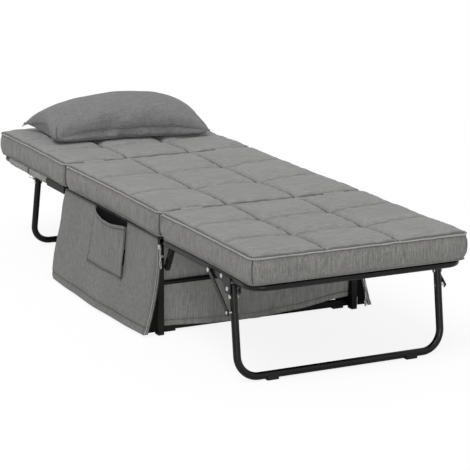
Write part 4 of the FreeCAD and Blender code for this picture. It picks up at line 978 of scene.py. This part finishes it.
def sleeve_piece(side, word):
    """Padded sleeve on a rail of the back section, with its strap and the strap's ring."""
    lo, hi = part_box(f"back_rail_sleeve_{word}")
    cx, cz = side * RAIL_X, RAIL_Z
    strap_y = 682.0
    n, sides = 72, 26
    verts, faces = [], []
    ys = np.linspace(lo.y / MM, hi.y / MM, n)
    for layer, radius, flat_top in ((0, 13.7, 9.3), (1, 10.2, 9.2)):
        for i, y in enumerate(ys):
            tuck = 1 - 0.12 * math.exp(-min(i, n - 1 - i) / 1.6)
            tuck -= 0.10 * math.exp(-(((y - strap_y) / 11) ** 2))
            for k in range(sides):
                a = 2 * math.pi * k / sides
                r = radius
                if layer == 0:
                    r = radius * tuck + 0.35 * math.sin(y / 9.0 + 3 * a) + 0.3 * math.sin(y / 23.0 - 2 * a)
                verts.append((cx + r * math.cos(a), y, cz + min(r * math.sin(a), flat_top)))
    pipe_wall(faces, n, sides, False)
    obj = new_piece(f"back_rail_sleeve_{word}_cloth", verts, faces)
    obj.data.materials.append(LINEN_SLEEVE)
    placed(obj, "back_section", "sleeve_cloth", f"back_rail_sleeve_{word}")
    strap = Kit()
    turns = np.linspace(0, 2 * math.pi, 28, endpoint=False)
    path = [(cx + 14.2 * math.cos(a), strap_y, cz + min(14.2 * math.sin(a), 9.4)) for a in turns]
    strap.tube(path, 0.8, 10, True, flat=7.5, up=(0, 1, 0))
    band = strap.piece(f"back_rail_strap_{word}", [TAPE])
    placed(band, "back_section", "sleeve_cloth")
    hook = Kit()
    hook.tube(ring((cx + side * 3, strap_y, cz - 19.5), 1, 4.6, 20), 0.9, 8, True)
    loop = hook.piece(f"back_strap_ring_{word}", [BRIGHT])
    placed(loop, "back_section", "bolt_steel")


for s, word in SIDES:
    sleeve_piece(s, word)


def zip_x(z):
    """Front edge of a side skirt at height z, as a distance from the middle plane."""
    return skirt_x(0.0, (SKIRT_TOP - z) / SKIRT_TALL)


def tape_grid(side, x, y, z, thick, cols):
    """Closed strip of tape facing the front."""
    verts, faces = two_sided(np.column_stack([side * x, y, z]), np.array([[0.0, 1.0, 0.0]]), thick, cols)
    return verts, (faces if side < 0 else [f[::-1] for f in faces])


def zip_tape(side, word, tapes, teeth):
    """Adds a side's tape and teeth, and makes the dark guard behind them."""
    top, cols = 271.8, 9
    gs, gd = unit_grid(cols, 90)
    z = top + (SKIRT_HEM + 0.4 - top) * gd
    x = zip_x(z) - 0.2 - 10.4 * gs
    y = -374.4 + 0.25 * np.sin(z / 6.0 + 2 * gs)
    tapes.add(*tape_grid(side, x, y, z, 1.7, cols))
    for i, level in enumerate(np.arange(SKIRT_HEM + 3, 270, 3.2)):
        c = zip_x(level) - 5.2 + (0.9 if i % 2 else -0.9)
        low, high = (side * c - 1.7, -375.9, level - 0.95), (side * c + 1.7, -374.2, level + 0.95)
        teeth.block(low, high, 0.35)
    edge = [(side * (zip_x(z) - 0.3), -374.6, z) for z in np.linspace(SKIRT_HEM + 1, 272, 60)]
    tapes.tube(edge, 1.0, 6, mat=1)

    tall, cols, leg_x = 138, 8, 328.8
    gs, gd = unit_grid(cols, 40)
    z = 150 - tall * gd
    wide = np.maximum(zip_x(z) - 10.6 - leg_x, 1.5)
    x = zip_x(z) - 10.6 - wide * gs
    y = -371.6 + 3.0 * gs + 0.5 * np.sin(z / 19 + 3 * gs)
    flap = new_piece(f"zip_guard_{word}", *tape_grid(side, x, y, z, 0.9, cols))
    flap.data.materials.append(NEAR_BLACK_CLOTH)
    placed(flap, "base", "zip_tape")


def zip_runner(word):
    """Slider and pull of one zip."""
    lo, hi = [np.array(v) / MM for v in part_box(f"zip_slider_{word}")]
    c = (lo + hi) / 2
    s = Kit()
    s.block((lo[0], lo[1] + 2.6, lo[2]), hi, 1.0)
    s.block((c[0] - 2.6, lo[1] + 0.9, lo[2] + 1), (c[0] + 2.6, lo[1] + 3.0, hi[2] - 1), 0.7)
    turns = np.linspace(0, math.pi, 12)
    arch = [(c[0], lo[1] + 2.6 - 2.2 * math.sin(t), c[2] + 4.6 * math.cos(t)) for t in turns]
    s.tube(arch, 0.8, 8, up=(1, 0, 0))
    obj = s.piece(f"zip_slider_{word}_metal", [BRIGHT])
    placed(obj, f"zip_slider_{word}_body", "zip_metal", f"zip_slider_{word}")
    lo, hi = [np.array(v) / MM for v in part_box(f"zip_pull_{word}")]
    c = (lo + hi) / 2
    s = Kit()
    s.tube(ring((c[0], c[1], hi[2] - 4.2), 1, 2.6, 18), 0.75, 8, True, up=(0, 1, 0))
    s.block((c[0] - 2.2, lo[1] + 0.1, lo[2] + 16), (c[0] + 2.2, hi[1] - 0.1, hi[2] - 6.4), 0.6)
    s.block(lo, (hi[0], hi[1], lo[2] + 24), 0.7)
    for k in range(5):
        z = lo[2] + 3.4 * k
        s.block((lo[0] + 1, lo[1] - 0.15, z + 4), (hi[0] - 1, hi[1] + 0.15, z + 5.4), 0.3)
    obj = s.piece(f"zip_pull_{word}_metal", [BRIGHT])
    placed(obj, f"zip_pull_{word}_body", "zip_metal", f"zip_pull_{word}")


def zip_pieces():
    tapes, teeth = Kit(), Kit()
    for side, word in SIDES:
        zip_tape(side, word, tapes, teeth)
    tape = tapes.piece("zip_tapes_cloth", [TAPE, LINEN_CORD])
    placed(tape, "base", "zip_tape", "zip_tapes")
    row = teeth.piece("zip_teeth", [BRIGHT], smooth=False)
    placed(row, "base", "zip_metal")
    for _, word in SIDES:
        zip_runner(word)


zip_pieces()


# ---------------------------------------------------------------- studio

def studio_floor():
    """Pale floor that still shows the object's shadow under its white glow for the camera."""
    half, cols = 40000, 41
    gs, gd = unit_grid(cols, cols)
    gx, gy = half * (2 * gs - 1), half * (2 * gd - 1)
    faces = []
    for j in range(cols - 1):
        for i in range(cols - 1):
            a = j * cols + i
            faces.append([a, a + 1, a + cols + 1, a + cols])
    floor = new_piece("studio_floor", np.column_stack([gx, gy, np.full(len(gx), -0.3)]), faces, False)
    m = bpy.data.materials.new("studio_floor")
    m.use_nodes = True
    t = m.node_tree
    t.nodes.clear()
    out, diffuse = t.nodes.new("ShaderNodeOutputMaterial"), t.nodes.new("ShaderNodeBsdfDiffuse")
    speck, ramp = t.nodes.new("ShaderNodeTexNoise"), t.nodes.new("ShaderNodeMapRange")
    speck.inputs["Scale"].default_value = 3.0
    ramp.inputs["To Min"].default_value, ramp.inputs["To Max"].default_value = 0.86, 0.88
    glow, mix = t.nodes.new("ShaderNodeEmission"), t.nodes.new("ShaderNodeMixShader")
    glow.inputs["Strength"].default_value = 1.04
    path, share = t.nodes.new("ShaderNodeLightPath"), t.nodes.new("ShaderNodeMath")
    share.operation = "MULTIPLY"
    share.inputs[1].default_value = 0.84
    for a, b in (
            (speck.outputs["Fac"], ramp.inputs["Value"]),
            (ramp.outputs["Result"], diffuse.inputs["Color"]),
            (path.outputs["Is Camera Ray"], share.inputs[0]),
            (share.outputs[0], mix.inputs["Fac"]),
            (diffuse.outputs[0], mix.inputs[1]),
            (glow.outputs[0], mix.inputs[2]),
            (mix.outputs[0], out.inputs["Surface"])):
        t.links.new(a, b)
    floor.data.materials.append(m)


def studio_world():
    """Soft even light; white where the camera, a reflection or a see-through ray meets it."""
    world = bpy.data.worlds.new("studio")
    SCENE.world = world
    world.use_nodes = True
    t = world.node_tree
    t.nodes.clear()
    out, mix = t.nodes.new("ShaderNodeOutputWorld"), t.nodes.new("ShaderNodeMixShader")
    soft, white = t.nodes.new("ShaderNodeBackground"), t.nodes.new("ShaderNodeBackground")
    for light, strength in ((soft, 0.48), (white, 1.0)):
        light.inputs["Color"].default_value = (1, 1, 1, 1)
        light.inputs["Strength"].default_value = strength
    path = t.nodes.new("ShaderNodeLightPath")
    either, any_ray = t.nodes.new("ShaderNodeMath"), t.nodes.new("ShaderNodeMath")
    either.operation = any_ray.operation = "MAXIMUM"
    for a, b in (
            (path.outputs["Is Camera Ray"], either.inputs[0]),
            (path.outputs["Is Glossy Ray"], either.inputs[1]),
            (either.outputs[0], any_ray.inputs[0]),
            (path.outputs["Is Transmission Ray"], any_ray.inputs[1]),
            (any_ray.outputs[0], mix.inputs["Fac"]),
            (soft.outputs[0], mix.inputs[1]),
            (white.outputs[0], mix.inputs[2]),
            (mix.outputs[0], out.inputs["Surface"])):
        t.links.new(a, b)


def sun(name, energy, angle, toward):
    """Sun lamp that shines from the direction toward; angle is its apparent size in degrees."""
    light = bpy.data.lights.new(name, "SUN")
    light.energy = energy
    light.angle = math.radians(angle)
    lamp = bpy.data.objects.new(name, light)
    SCENE.collection.objects.link(lamp)
    lamp.rotation_mode = "QUATERNION"
    lamp.rotation_quaternion = Vector(toward).normalized().to_track_quat("Z", "Y")


def photo_camera():
    """Camera at the viewpoint of the photo, fitted to the corners of the cushions."""
    azimuth, elevation = math.radians(-25.28), math.radians(13.995)
    target, distance = Vector((-0.0717, -0.1102, 0.200)), 5.723
    cam = bpy.data.cameras.new("photo_camera")
    view = bpy.data.objects.new("photo_camera", cam)
    SCENE.collection.objects.link(view)
    level = math.cos(elevation)
    back = Vector((math.sin(azimuth) * level, -math.cos(azimuth) * level, math.sin(elevation)))
    view.location = target + back * distance
    view.rotation_mode = "QUATERNION"
    view.rotation_quaternion = (-back).to_track_quat("-Z", "Y")
    cam.sensor_width = 36
    cam.lens = 145.2
    cam.shift_x, cam.shift_y = 0.0739, 0.0087
    cam.clip_start, cam.clip_end = 0.1, 200
    SCENE.camera = view


studio_floor()
studio_world()
sun("key", 1.56, 35, (-0.50, -0.36, 1.0))
sun("fill", 0.82, 22, (-0.35, -1.0, 0.20))
photo_camera()
SCENE.view_settings.view_transform = "Standard"
